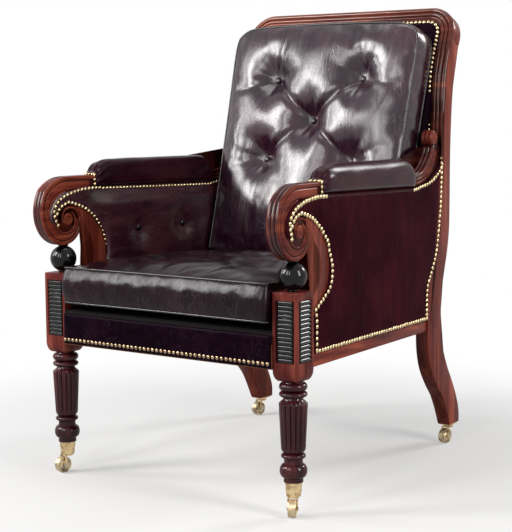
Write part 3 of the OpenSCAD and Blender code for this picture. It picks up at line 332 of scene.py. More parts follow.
def metal(name, bright, patina, rough, amount, scale):
    m, nt, b = blank(name)
    n = noise_out(nt, coords(nt), scale, 4, 0.65)
    colour = ramp(nt, n, [(0.35, patina), (0.35 + 0.3 * (1 - amount) + 0.05, bright)])
    r = node(nt, "MapRange", {"Value": n, "To Min": rough + 0.2, "To Max": rough - 0.08})
    plug(nt, b, {"Base Color": colour, "Metallic": 1.0, "Roughness": r.outputs[0]})
    bump(nt, b, noise_out(nt, coords(nt), 300, 2), 0.05, 0.0004)
    return m


def cloth(name, dark, light, scale, sheen):
    m, nt, b = blank(name)
    wave = node(nt, "TexWave", {"Scale": scale * 0.35, "Distortion": 1.5, "Vector": coords(nt)})
    weave = mix_col(nt, 0.5, wave.outputs[0], noise_out(nt, coords(nt), scale, 2, 0.6, 0, 1))
    plug(nt, b, {"Base Color": ramp(nt, weave, [(0.25, dark), (0.7, light)]), "Roughness": 0.9,
                 "Sheen Weight": sheen, "Specular IOR Level": 0.1})
    bump(nt, b, weave, 0.4, 0.0006)
    return m


RED = ((0.027, 0.003, 0.005), (0.145, 0.026, 0.016), (0.41, 0.102, 0.052))
BLACK = ((0.001, 0.0008, 0.001), (0.002, 0.0015, 0.002), (0.004, 0.003, 0.003))
WOOD_Z = wood("mahogany_upright", *RED, "z")
WOOD_Y = wood("mahogany_along", *RED, "y")
WOOD_X = wood("mahogany_across", *RED, "x")
# The reeds' mahogany is darker than the rest: painted shade on the scroll's forward-facing rim
REED_Y_SHADED = wood("mahogany_reeds_painted_shade", (0.008, 0.001, 0.002), (0.056, 0.0095, 0.008), (0.23, 0.052, 0.032), "y", 0.6)
# A darker mahogany for the arm plate, seen in the grooves between the mouldings: painted shade
GROOVE_SHADE = wood("mahogany_grooves_painted_shade", (0.006, 0.001, 0.002), (0.034, 0.006, 0.005), (0.13, 0.028, 0.014),
              "y", 0.1, 0.4, 0.15)
# The frame mouldings' mahogany is darker than the crest's and uprights': painted shade on their front faces
REED_X = wood("mahogany_frame_painted_shade", (0.014, 0.002, 0.003), (0.085, 0.015, 0.008), (0.28, 0.066, 0.024),
              "x", 0.55, gloss=0.06)
WOOD_LEG = wood("mahogany_turned", (0.007, 0.001, 0.003), (0.028, 0.004, 0.007), (0.11, 0.020, 0.019),
                "z", 0.4, gloss=0.07)
WOOD_BLOCK = wood("mahogany_block", (0.018, 0.002, 0.004), (0.082, 0.013, 0.011), (0.26, 0.062, 0.040))
EBONY = wood("ebonised", *BLACK, "z", 0.45, 0.3, 0.09, 0.0)
EBONY_REED = wood("ebonised_reeds", *BLACK, "x", 0.65, 0.3, 0.06, 0.0)
BEECH = wood("beech_stained", (0.08, 0.032, 0.015), (0.14, 0.06, 0.028), (0.22, 0.1, 0.05),
             "y", 0.0, 0.6, 0.13)
HIDE = leather("hide_dark", (0.002, 0.0004, 0.002), (0.005, 0.001, 0.004), (0.012, 0.003, 0.008),
               0.4, (0.24, 0.44), crackle=0.3, spec=0.015)
HIDE_OUT = leather("hide_outside", (0.009, 0.0007, 0.0022), (0.021, 0.0020, 0.0052), (0.044, 0.006, 0.010),
                   0.35, (0.4, 0.56), (1, 1, 0.14), crackle=0.1, spec=0.008)
# The inner arm leather is lighter than the outside leather: painted light on the inner arms
HIDE_IN = leather("hide_inside", (0.009, 0.0014, 0.0035), (0.030, 0.005, 0.011), (0.082, 0.020, 0.030),
                  0.3, (0.2, 0.36), (1, 0.3, 1), crackle=0.15, spec=0.8)
HIDE_PAD = leather("hide_pad", (0.007, 0.0008, 0.0027), (0.020, 0.0026, 0.007), (0.042, 0.010, 0.016),
                   0.35, (0.15, 0.28), (1, 0.22, 1), crackle=0.15, spec=0.1)
# The seat leather is a darker copy of the back cushion's: painted shade, deepest need on the lower front
HIDE_SEAT = leather("hide_seat", (0.003, 0.0007, 0.002), (0.008, 0.002, 0.0048), (0.026, 0.009, 0.0135),
                    0.8, (0.11, 0.27), (1, 1, 0.45), crackle=0.4, spec=0.14)
HIDE_BACK = leather("hide_back", (0.006, 0.0010, 0.0042), (0.015, 0.0030, 0.0090), (0.038, 0.011, 0.0200),
                    0.45, (0.16, 0.32), (1, 0.4, 0.3), crackle=0.5, spec=0.6)
PIPING = leather("hide_piping", (0.003, 0.001, 0.002), (0.006, 0.003, 0.004), (0.015, 0.006, 0.008),
                 0.2, (0.16, 0.28), crackle=0.1, coat=0.1, spec=0.3)
BRASS = metal("brass_nails", (0.70, 0.56, 0.33), (0.22, 0.16, 0.08), 0.2, 0.3, 240)
BRASS_DARK = metal("brass_nails_dark", (0.42, 0.30, 0.18), (0.10, 0.06, 0.04), 0.24, 0.4, 240)
# Near-black brass for the nails under the pad's lower edge: painted shadow of the pad
BRASS_SHADOWED = metal("brass_nails_painted_shadow", (0.045, 0.03, 0.02), (0.01, 0.006, 0.005), 0.4, 0.6, 240)
BRASS_OLD = metal("brass_aged", (0.72, 0.54, 0.30), (0.22, 0.14, 0.07), 0.3, 0.5, 90)
BRASS_WHEEL = metal("brass_worn", (0.52, 0.42, 0.27), (0.10, 0.07, 0.045), 0.4, 0.6, 90)
STEEL = metal("steel_dull", (0.42, 0.4, 0.37), (0.14, 0.12, 0.1), 0.4, 0.6, 120)
WEB = cloth("webbing_jute", (0.2, 0.15, 0.09), (0.5, 0.41, 0.27), 700, 0.2)
# Near-black deck: painted shade for the dark gap under the seat cushion
DECK = cloth("deck_painted_shade", (0.002, 0.0015, 0.002), (0.008, 0.006, 0.007), 900, 0.0)


# Pieces
def new_piece(name, me, mat, body):
    me.materials.append(mat)
    ob = bpy.data.objects.new(name, me)
    bpy.context.scene.collection.objects.link(ob)
    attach(ob, body)
    return ob


def add_mesh(name, verts, faces, mat, body="chair", slot="mahogany"):
    """A smooth piece from verts in millimetres and faces."""
    me = bpy.data.meshes.new(name)
    me.from_pydata([tuple(Vector(v) * MM) for v in verts], [], faces)
    me.update()
    me.polygons.foreach_set("use_smooth", [True] * len(me.polygons))
    return new_piece(name, me, mat, body)


def outward(ob):
    bm = bmesh.new()
    bm.from_mesh(ob.data)
    bmesh.ops.remove_doubles(bm, verts=bm.verts, dist=1e-6)
    bmesh.ops.recalc_face_normals(bm, faces=bm.faces)
    bm.to_mesh(ob.data)
    bm.free()
    return ob


def subdivide(ob):
    """One subdivision, applied to the mesh."""
    m = ob.modifiers.new("subsurf", "SUBSURF")
    m.levels = m.render_levels = 1
    me = bpy.data.meshes.new_from_object(ob.evaluated_get(bpy.context.evaluated_depsgraph_get()))
    ob.modifiers.clear()
    old, ob.data = ob.data, me
    me.name = ob.name
    bpy.data.meshes.remove(old)


def sharp(ob, angle):
    """Smooth where faces meet gently, sharp elsewhere."""
    me = ob.data
    me.polygons.foreach_set("use_smooth", [True] * len(me.polygons))
    bm = bmesh.new()
    bm.from_mesh(me)
    for e in bm.edges:
        e.smooth = len(e.link_faces) == 2 and e.calc_face_angle(0) < radians(angle)
    bm.to_mesh(me)
    bm.free()
    return ob


def loft(rows, n, wrap=False, ends=2):
    """Faces between rings of n points: wrapped round on themselves, or with the first or both ends closed."""
    faces = []
    for i in range(rows if wrap else rows - 1):
        j = (i + 1) % rows
        faces += [(i * n + k, i * n + (k + 1) % n, j * n + (k + 1) % n, j * n + k) for k in range(n)]
    if ends and not wrap:
        faces.append(tuple(range(n - 1, -1, -1)))
    if ends == 2 and not wrap:
        faces.append(tuple((rows - 1) * n + k for k in range(n)))
    return faces


def join(parts):
    verts, faces = [], []
    for v, f in parts:
        k = len(verts)
        verts += list(v)
        faces += [tuple(i + k for i in q) for q in f]
    return verts, faces


def spin(profile, cx, cy, n):
    turns = [2 * pi * k / n for k in range(n)]
    return [(cx + r * cos(a), cy + r * sin(a), z) for r, z in profile for a in turns]


def tube_mesh(pts, radius, n=10, closed=False, up=None, squash=1.0, taper=0):
    """Verts and faces of a tube along 3D points; taper rounds the ends off over that many points."""
    pts = [Vector(p) for p in pts]
    m = len(pts)
    verts = []
    u = None
    for i, p in enumerate(pts):
        a = pts[(i - 1) % m] if closed else pts[max(i - 1, 0)]
        b = pts[(i + 1) % m] if closed else pts[min(i + 1, m - 1)]
        t = (b - a).normalized()
        if up:
            u = Vector(up)
        elif u is None:
            u = Vector((0, 0, 1)) if abs(t.z) < 0.9 else Vector((1, 0, 0))
        u = (u - t * u.dot(t)).normalized()
        w = t.cross(u)
        e = min(i, m - 1 - i)
        r = radius
        if e < taper:
            r = max(0.05, radius * sqrt(max(0.0, 1 - (1 - e / taper) ** 2)))
        for k in range(n):
            c = 2 * pi * k / n
            verts.append(p + u * (r * cos(c) * squash) + w * (r * sin(c)))
    return verts, loft(m, n, closed)


def tubes(name, paths, radius, mat, body="chair", slot="mahogany", **k):
    v, f = join([tube_mesh(p, radius, **k) for p in paths])
    return outward(add_mesh(name, v, f, mat, body, slot))


def round_edges(bm, edges, width, segments):
    bmesh.ops.bevel(bm, geom=edges, offset=width, segments=segments, profile=0.5, affect="EDGES",
                    clamp_overlap=True)


def plate(name, outline, o0, o1, left, mat, bevel, segs=3, place=None):
    """A side profile (s, z), extruded from o0 to o1 with rounded edges."""
    place = place or (lambda s, z, o: side(o, s, z, left))
    bm = bmesh.new()
    face = bm.faces.new([bm.verts.new((p[0], p[1], o0)) for p in outline])
    ext = bmesh.ops.extrude_face_region(bm, geom=[face])
    for v in [g for g in ext["geom"] if isinstance(g, bmesh.types.BMVert)]:
        v.co.z = o1
    bmesh.ops.recalc_face_normals(bm, faces=bm.faces)
    caps = [q for q in bm.faces if abs(q.normal.z) > 0.9]
    edges = list({e for q in caps for e in q.edges})
    round_edges(bm, edges, bevel, segs)
    for v in bm.verts:
        v.co = place(v.co.x, v.co.y, v.co.z)
    bmesh.ops.triangulate(bm, faces=[q for q in bm.faces if len(q.verts) > 4])
    bmesh.ops.recalc_face_normals(bm, faces=bm.faces)
    bmesh.ops.scale(bm, vec=(MM,) * 3, verts=bm.verts)
    me = bpy.data.meshes.new(name)
    bm.to_mesh(me)
    bm.free()
    return sharp(new_piece(name, me, mat, "chair"), 32)


# Camera
cam = bpy.data.cameras.new("camera")
cam.sensor_fit, cam.sensor_width, cam.lens = "AUTO", 36.0, 94.05
cam.clip_start, cam.clip_end = 0.05, 60
cam_ob = bpy.data.objects.new("camera", cam)
bpy.context.scene.collection.objects.link(cam_ob)
CAM_PLACE, CAM_ROUND, CAM_DOWN, CAM_ROLL = (1.77477, -2.53016, 0.79802), 35.40, 6.60, -0.40
cam_ob.matrix_world = (Matrix.Translation(CAM_PLACE) @ Matrix.Rotation(radians(CAM_ROUND), 4, "Z")
                       @ Matrix.Rotation(radians(90 - CAM_DOWN), 4, "X")
                       @ Matrix.Rotation(radians(CAM_ROLL), 4, "Z"))
bpy.context.scene.camera = cam_ob
bpy.context.scene.view_settings.view_transform = "Standard"

# Lamps: name, place, target, width, height, power, colour
WARM = (1, 0.99, 0.98)
LAMPS = (("front", (-0.5, -3.15, 2.0), (0, 0.1, 0.7), 0.55, 1.7, 42, WARM),
         ("front_right", (0.55, -3.2, 1.9), (0, 0.1, 0.7), 0.22, 1.6, 24, WARM),
         ("left", (-2.9, -1.5, 1.8), (0, 0.1, 0.7), 0.35, 1.6, 40, WARM),
         ("side", (3.0, -0.3, 1.65), (0.1, 0.1, 0.55), 0.7, 1.8, 72, (1, 0.97, 0.93)),
         ("top", (-0.2, 0.2, 3.0), (0, 0, 0.5), 1.0, 1.0, 12, (1, 1, 1)),
         ("rim", (1.5, 2.8, 2.1), (0, 0.1, 0.6), 0.9, 0.8, 60, (1, 1, 1)),
         ("key", (-1.95, -2.3, 2.15), (0, 0, 0.5), 0.8, 1.4, 94, WARM))
for name, place, target, width, height, power, colour in LAMPS:
    lamp = bpy.data.lights.new(name, "AREA")
    lamp.shape, lamp.size, lamp.size_y = "RECTANGLE", width, height
    lamp.energy, lamp.color = power, colour
    lamp_ob = bpy.data.objects.new(name, lamp)
    bpy.context.scene.collection.objects.link(lamp_ob)
    lamp_ob.location = place
    lamp_ob.rotation_euler = (Vector(target) - Vector(place)).to_track_quat("-Z", "Y").to_euler()

# Background and floor
WHITE = (1, 1, 1, 1)


def seen_directly(nt):
    """1 for camera, glossy and transmission rays, which see the white background; 0 for the rest."""
    path = node(nt, "LightPath").outputs
    first = calc(nt, "MAXIMUM", path["Is Camera Ray"], path["Is Glossy Ray"])
    return calc(nt, "MAXIMUM", first, path["Is Transmission Ray"])


def world_light():
    world = bpy.data.worlds.new("studio")
    bpy.context.scene.world = world
    world.use_nodes = True
    nt = world.node_tree
    nt.nodes.clear()
    plain = node(nt, "Background", {0: WHITE, 1: 0.08}).outputs[0]
    white = node(nt, "Background", {0: WHITE, 1: 1.0}).outputs[0]
    mixed = node(nt, "MixShader", {0: seen_directly(nt), 1: plain, 2: white}).outputs[0]
    node(nt, "OutputWorld", {0: mixed})


def floor_material():
    """Pale under the chair, where its shadow shows, and white away from it."""
    m, nt, _ = blank("floor_pale")
    nt.nodes.clear()
    diffuse = node(nt, "BsdfDiffuse", {0: (0.38, 0.38, 0.38, 1)}).outputs[0]
    glow = node(nt, "Emission", {0: WHITE, 1: 0.37}).outputs[0]
    near = node(nt, "AddShader", {0: diffuse, 1: glow}).outputs[0]
    away = node(nt, "VectorMath", {0: node(nt, "TexCoord").outputs["Object"]}, operation="LENGTH")
    fade = node(nt, "MapRange", {"Value": away.outputs["Value"], "From Min": 0.45, "From Max": 1.5},
                interpolation_type="SMOOTHERSTEP").outputs[0]
    white = node(nt, "Emission", {0: WHITE, 1: 1.0}).outputs[0]
    seen = node(nt, "MixShader", {0: fade, 1: near, 2: white}).outputs[0]
    mixed = node(nt, "MixShader", {0: seen_directly(nt), 1: diffuse, 2: seen}).outputs[0]
    node(nt, "OutputMaterial", {0: mixed})
    return m


world_light()
FLOOR_HALF, FLOOR_Z = 14, -0.0004
floor_me = bpy.data.meshes.new("floor")
corners = [(x * FLOOR_HALF, y * FLOOR_HALF, FLOOR_Z) for x, y in ((-1, -1), (1, -1), (1, 1), (-1, 1))]
floor_me.from_pydata(corners, [], [(0, 1, 2, 3)])
floor_me.materials.append(floor_material())
floor_ob = bpy.data.objects.new("floor", floor_me)
bpy.context.scene.collection.objects.link(floor_ob)

# Front legs
TURN_R, CUP_TOP, BLOCK_FOOT, POMMEL, BLOCK_TOP, HALF_W = 28.5, 68.0, 268.0, 290.0, 442.0, 29.0
TURN_H = BLOCK_FOOT - CUP_TOP
PANEL_FOOT, PANEL_TOP, PANEL_HALF, PANEL_DEEP = 305.8, 426.2, 18.0, 4.0
REEDS, REED_DEEP, CROSS_REEDS, BED_HALF = 16, 2.9, 14, 17.9
BED_FACES = ((0, 2, 4, 6), (1, 7, 5, 3), (0, 1, 3, 2), (2, 3, 5, 4), (4, 5, 7, 6), (6, 7, 1, 0))
BALL_R, BALL_TOP = 28.4, coil(262)[1]


def tz(t):
    """Height at a share of the turned part."""
    return CUP_TOP + t * TURN_H


def bead(z0, z1, r0, r1, n):
    turns = [pi * i / n for i in range(n + 1)]
    return [(TURN_R * (r0 + (r1 - r0) * sin(a)), tz(z0 + (z1 - z0) * (1 - cos(a)) / 2)) for a in turns]


QUARTER = quarter(7)
profile = [(12.4, 44.0), (12.4, CUP_TOP - 0.5), (0.68 * TURN_R, CUP_TOP + 0.2), (0.68 * TURN_R, tz(0.03))]
profile += bead(0.045, 0.18, 0.66, 0.96, 16) + bead(0.235, 0.285, 0.64, 0.86, 12)
profile += [(TURN_R * (0.69 + 0.165 * sin(a)), tz(0.3 + 0.045 * (1 - cos(a)))) for a in QUARTER]
profile += [(TURN_R * (0.855 + 0.145 * i / 14), tz(0.345 + (0.78 - 0.345) * i / 14)) for i in range(1, 15)]
profile += [(TURN_R * (1 - 0.3 * (1 - sin(b))), tz(0.78 + 0.04 * (1 - cos(a))))
            for a, b in zip(QUARTER[1:], QUARTER[-2::-1])]
profile += bead(0.84, 0.9, 0.67, 0.98, 12) + bead(0.905, 0.985, 0.72, 0.98, 12)
profile += [(0.64 * TURN_R, BLOCK_FOOT + 1)]


def at_leg(x, y, z, mirror):
    return Vector((mirror * (x + LEG_X), y - SETBACK, z))


def turned_leg(tag, cx, cy):
    n = 192
    verts = []
    for r, z in profile:
        # The reeds fade in and out at the ends of the barrel
        t = (z - tz(0.3)) / (tz(0.82) - tz(0.3))
        deep = 0.0 if t <= 0.03 or t >= 0.985 else min(1.0, (t - 0.03) / 0.1, (0.985 - t) / 0.07)
        for k in range(n):
            a = 2 * pi * k / n
            f = abs(cos(REEDS / 2 * (a + pi / REEDS)))
            cut = deep * REED_DEEP * (1 - sqrt(max(0.0, 1 - (1 - f) ** 2))) + deep * 0.4 * (1 - f) ** 6
            verts.append((cx + (r - cut) * cos(a), cy + (r - cut) * sin(a), z))
    turned = outward(add_mesh("turned_leg_" + tag, verts, loft(len(profile), n, ends=1), WOOD_LEG))
    return sharp(turned, 48)


def leg_block(tag, mirror):
    """The square block, with a sunk panel on each of its two outer faces and a rounded foot."""
    bm = bmesh.new()
    bmesh.ops.create_cube(bm, size=1.0)
    for v in bm.verts:
        v.co = Vector((v.co.x * 2 * HALF_W, v.co.y * 2 * HALF_W, BLOCK_TOP if v.co.z > 0 else POMMEL))
    for axis, sign in ((1, -1), (0, 1)):
        f = [q for q in bm.faces if q.normal[axis] * sign > 0.9][0]
        bmesh.ops.inset_individual(bm, faces=[f], thickness=HALF_W - PANEL_HALF, depth=0)
        for v in f.verts:
            v.co.z = PANEL_TOP if v.co.z > (POMMEL + BLOCK_TOP) / 2 else PANEL_FOOT
        for v in bmesh.ops.extrude_discrete_faces(bm, faces=[f])["faces"][0].verts:
            v.co[axis] -= sign * PANEL_DEEP
    g = [q for q in bm.faces if q.normal.z < -0.9][0]
    for a in quarter(5)[1:]:
        g = bmesh.ops.extrude_discrete_faces(bm, faces=[g])["faces"][0]
        for v in g.verts:
            v.co.z = POMMEL - (POMMEL - BLOCK_FOOT) * sin(a)
            for axis in (0, 1):
                v.co[axis] = (HALF_W if v.co[axis] > 0 else -HALF_W) * (0.66 + 0.34 * cos(a))
    corners = [e for e in bm.edges if e.calc_face_angle(0) > 0.6]
    round_edges(bm, corners, 1.3, 2)
    for v in bm.verts:
        v.co = at_leg(*v.co, mirror) * MM
    bmesh.ops.recalc_face_normals(bm, faces=bm.faces)
    me = bpy.data.meshes.new("leg_block_" + tag)
    bm.to_mesh(me)
    bm.free()
    return sharp(new_piece("leg_block_" + tag, me, WOOD_BLOCK, "chair"), 30)


def cross_reeds(tag, mirror):
    """The reeds of the two panels, and the bed that each row lies on."""
    def spot(outer, e, d, z):
        return at_leg(HALF_W - d, e, z, mirror) if outer else at_leg(e, d - HALF_W, z, mirror)
    parts = []
    for outer in (False, True):
        for i in range(CROSS_REEDS):
            z = PANEL_FOOT + (PANEL_TOP - PANEL_FOOT) * (i + 0.5) / CROSS_REEDS
            pts = [spot(outer, -BED_HALF + 2 * BED_HALF * j / 8, 2.2, z) for j in range(9)]
            parts.append(tube_mesh(pts, 2.6, 20, up=(0, 0, 1), squash=1.56))
        low, high = PANEL_FOOT + 0.1, PANEL_TOP - 0.1
        ring = ((-BED_HALF, low), (BED_HALF, low), (BED_HALF, high), (-BED_HALF, high))
        parts.append(([spot(outer, e, d, z) for e, z in ring for d in (1.6, 3.9)], BED_FACES))
    v, f = join(parts)
    return outward(add_mesh("cross_reeds_" + tag, v, f, EBONY_REED, "chair", "ebonised_wood"))


def ball(tag, cx, cy):
    middle = (BLOCK_TOP + BALL_TOP) / 2
    outline = [(11.5, BLOCK_TOP), (11.5, BLOCK_TOP + 1.2), (9.6, BLOCK_TOP + 2.6), (9.2, BLOCK_TOP + 4.4)]
    outline += [(BALL_R * sin(pi * i / 40), middle - BALL_R * cos(pi * i / 40)) for i in range(5, 36)]
    outline += [(9.2, BALL_TOP - 3.6), (10.5, BALL_TOP - 2.4), (11.5, BALL_TOP - 0.6), (11.5, BALL_TOP + 1.5)]
    verts, faces = spin(outline, cx, cy, 72), loft(len(outline), 72)
    return sharp(outward(add_mesh("ball_turned_" + tag, verts, faces, EBONY, "chair", "ebonised_wood")), 40)


for left, tag in SIDES:
    mirror = -1 if left else 1
    turned = turned_leg(tag, mirror * LEG_X, -SETBACK)
    block = leg_block(tag, mirror)
    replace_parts(turned, "front_leg_" + tag)
    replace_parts(block, "front_leg_" + tag)
    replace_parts(cross_reeds(tag, mirror), "leg_reeds_" + tag)
    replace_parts(ball(tag, mirror * LEG_X, -SETBACK), "ball_" + tag)

# Arms: the scroll and its hub, the support's curve, the band over the leather and the sweep up to the back
PAD_FRONT, PAD_BACK, PAD_SEAT = 88.0, 492.0, 645.0
BAND_FRONT, BAND_BACK = 624.0, 615.0
SWEEP, SWEEP_R, UNDER_R = (500.0, 735.0), 90.0, 181.0
ROLL, ROLL_R = (592.0, 722.0), 17.5
TONGUE_A, TONGUE_TOP, TONGUE_R = 201.0, 165.0, 56
THIN_TOP, THIN_HUB = 60.5, 39.0
FACE_O = 11.2
RIM_Z = EYE[1] + VOLUTE
HUB_R = wind(405)
gap = distance(EYE, CURVE)
hub_dir = degrees(atan2(EYE[1] - CURVE[1], EYE[0] - CURVE[0]))
top_a = hub_dir - degrees(acos((C_OUT ** 2 + gap ** 2 - HUB_R ** 2) / (2 * C_OUT * gap)))
curve_top = polar(CURVE, C_OUT, top_a)
hub_a = degrees(atan2(curve_top[1] - EYE[1], curve_top[0] - EYE[0]))
low_a = -degrees(acos((SUPPORT_BACK - CURVE[0]) / C_OUT))
root = coil(370)
root_dir = degrees(atan2(root[1] - CURVE[1], root[0] - CURVE[0]))
root_r = distance(root, CURVE)


def ring(r, a):
    return polar(EYE, r, a)


def curve_inner(a):
    return C_IN if a < 45 else C_IN + (root_r - C_IN) * ((a - 45) / (root_dir - 45)) ** 2


def inner_curve(s, short, n):
    """The support's inner edge, from where it stands at s to short degrees before its root."""
    a0 = -degrees(acos((s - CURVE[0]) / C_IN))
    turns = [a0 + (root_dir - a0 - short) * i / n for i in range(n + 1)]
    return [polar(CURVE, curve_inner(a), a) for a in turns]


def rim_w(a):
    """Width of the outer bead of the scroll at an angle; it narrows as it winds into the eye."""
    first = 3.6 * max(0.0, min(1.0, (a - 300) / 120))
    return 8.6 - first - 2.6 * max(0.0, min(1.0, (a - 420) / 200))


def inner_r(a):
    """Radius of the thin bead: along the leather, then round the hub."""
    if a < TONGUE_TOP:
        return THIN_TOP
    if a < TONGUE_A:
        return THIN_TOP - (THIN_TOP - THIN_HUB) * ((a - TONGUE_TOP) / (TONGUE_A - TONGUE_TOP)) ** 0.8
    return THIN_HUB * exp(-0.0034 * (a - TONGUE_A))


def straight(off):
    """The stretch between the pad and the top of the scroll, off below the rim."""
    return [(s, RIM_Z - off) for s in (PAD_FRONT, 70, 48, 26)]


def band(outer, inner, high, o, left):
    """A raised moulding between two edges of a face: rounded across, sunk into the plate at both edges."""
    turns = [pi * i / 8 for i in range(9)]
    across = [(0.5 - 0.5 * cos(a), (high - FACE_O) * sin(a) ** 0.5) for a in turns]
    across = [(0.0, -1.5)] + across + [(1.0, -1.5)]
    verts = [side(o * (FACE_O + h), p[0] + (q[0] - p[0]) * k, p[1] + (q[1] - p[1]) * k, left)
             for p, q in zip(outer, inner) for k, h in across]
    return verts, loft(len(outer), len(across))


band_in = []
for i in range(9):
    r = (HUB_R + 4) + (TONGUE_R - HUB_R - 4) * sin(pi / 2 * i / 8)
    band_in.append(ring(r, TONGUE_A + (TONGUE_TOP - TONGUE_A) * i / 8))
for i in range(1, 15):
    band_in.append(ring(TONGUE_R + 3 * i / 14, TONGUE_TOP + (90 - TONGUE_TOP) * i / 14))
band_in += [(52 / 97 * PAD_FRONT, BAND_FRONT - 1), (PAD_FRONT, BAND_FRONT)]
under_c = (SWEEP[0] - 7.2, BAND_BACK + UNDER_R)
up_s = at_z(FRONT_EDGE, 674)
under_arc = arc(under_c, UNDER_R, -96, -degrees(acos((up_s - under_c[0]) / UNDER_R)), 24)
band_edge = band_in + under_arc
hub_arc = arc(EYE, HUB_R, hub_a, TONGUE_A, 26)
curve_arc = arc(CURVE, C_OUT, low_a, top_a, 40)
root_arc = [coil(a) for a in range(370, 406, 3)] + arc(EYE, HUB_R, 49, hub_a, 2)
rim_path = [(s, RIM_Z) for s in (PAD_FRONT + 6, 60, 30)]
rim_path += [coil(a) for a in range(90, 135, 4)] + [coil(a) for a in range(135, 371, 4)]
sweep_path = [(478, PAD_SEAT)] + arc(SWEEP, SWEEP_R, 270, 343, 26)

# Edges of the mouldings on the arm's face: the rim's bead, the flat beside it and the thin bead
QUIRK = 2.0
turns = range(90, 640, 4)
bead_out = straight(0.3) + [ring(wind(a) - 0.3, a) for a in turns]
bead_in = straight(rim_w(90)) + [ring(wind(a) - rim_w(a), a) for a in turns]
mid_turns = [a for a in range(90, 360, 4) if wind(a) - rim_w(a) - QUIRK - inner_r(a) - 2.6 > 1.0]
mid_out = straight(rim_w(90) + QUIRK)[1:] + [ring(wind(a) - rim_w(a) - QUIRK, a) for a in mid_turns]
mid_in = [(p[0], EYE[1] + inner_r(90) + 2.8) for p in straight(0)[1:]]
mid_in += [ring(inner_r(a) + 2.8, a) for a in mid_turns]
thin_turns = range(96, 420, 4)
thin_out = [ring(inner_r(a) + 1.2, a) for a in thin_turns]
thin_in = [ring(inner_r(a) - 3.6, a) for a in thin_turns]
arm_bands = [(bead_out, bead_in, 14.0), (mid_out, mid_in, 13.2), (thin_out, thin_in, 13.0)]
for reach in ((0.3, 8.0), (10.0, 16.5), (18.5, 24.0)):
    edges = [arc(SWEEP, SWEEP_R + d, 270, 337.5, 27) for d in reach]
    arm_bands.append((*edges, 13.6))

# The face of the arm plate, a little inside the solid so that the reeds stand proud of it; its darker wood
# paints shade in the grooves between the mouldings
RIM_IN = 2.6
plate_outline = [(up_s - 1, 700.0), (ROLL[0] + 13, ROLL[1] - 10)] + arc(SWEEP, SWEEP_R + RIM_IN, 341, 270, 22)
plate_outline += [(PAD_FRONT, PAD_SEAT - RIM_IN), (PAD_FRONT, RIM_Z - RIM_IN), (46, RIM_Z - RIM_IN)]
plate_outline += [coil(a, -RIM_IN) for a in range(90, 369, 4)] + root_arc + hub_arc + band_edge
plate_outline = clean(plate_outline)
support_foot = [(SUPPORT_BACK, RAIL_TOP), (RAIL_FRONT, RAIL_TOP)]
support_outline = clean(root_arc + curve_arc[::-1] + support_foot + inner_curve(RAIL_FRONT, 0, 40))
inner_arc = [tuple(v) for v in resample(inner_curve(30.5, 3, 44), 4)]
REED_O = (-9.3, 0.0, 9.3)
REED_R = 4.7


def edge_reeds(name, path, off, left):
    line = offset([tuple(v) for v in resample(path, 4)], off)
    # The reeds use the darker mahogany, which paints shade on them
    tubes(name, [[side(o, s, z, left) for s, z in line] for o in REED_O], REED_R, REED_Y_SHADED, n=18, taper=2)


def turned_end(name, c, rad, half, reeded, left):
    """A turned boss through the arm: the scroll's eye, or the roll at the arm's back with its three reeds."""
    cap = [(0, half), (rad * 0.22, half), (rad * 0.3, half - 0.8), (rad * 0.45, half - 0.9),
           (rad * 0.56, half - 0.1), (rad * 0.7, half + 0.1), (rad * 0.84, half - 0.3),
           (rad * 0.93, half - 1.4), (rad * 0.97, half - 3.2)]
    rounds = []
    if reeded:
        rounds = [(rad - 1.5 + 1.5 * cos(radians(a)), o + 3.4 * sin(radians(a)))
                  for o in REED_O[::-1] for a in range(80, -81, -20)]
    line = cap + rounds + [(r, -h) for r, h in cap[::-1]]
    n = 48
    verts = [side(h, s, z, left) for s, z, h in spin(line, *c, n)]
    sharp(outward(add_mesh(name, verts, loft(len(line), n, ends=0), WOOD_Y)), 60)


for left, tag in SIDES:
    face = plate("arm_plate_" + tag, plate_outline, -FACE_O, FACE_O, left, GROOVE_SHADE, 0.8)
    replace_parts(face, "arm_rail_" + tag)
    edge_reeds("rim_reeds_" + tag, rim_path, REED_R, left)
    edge_reeds("sweep_reeds_" + tag, sweep_path, -REED_R, left)
    v, f = join([band(outer, inner, high, o, left) for outer, inner, high in arm_bands for o in (1, -1)])
    sharp(outward(add_mesh("arm_mouldings_" + tag, v, f, WOOD_Y)), 50)
    turned_end("scroll_eye_" + tag, EYE, 14.0, 14.6, False, left)
    turned_end("scroll_roll_" + tag, ROLL, ROLL_R, 13.6, True, left)
    support = plate("arm_c_support_" + tag, support_outline, -13.4, 13.4, left, WOOD_Z, 1.6)
    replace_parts(support, "arm_support_" + tag)
    parts = []
    for o, rad, off in ((-11.0, 2.9, -2.6), (11.0, 2.9, -2.6), (-6.2, 1.3, -0.6), (6.2, 1.3, -0.6)):
        parts.append(tube_mesh([side(o, s, z, left) for s, z in offset(inner_arc, off)], rad, 12, taper=2))
    outward(add_mesh("c_mouldings_" + tag, *join(parts), WOOD_Z))

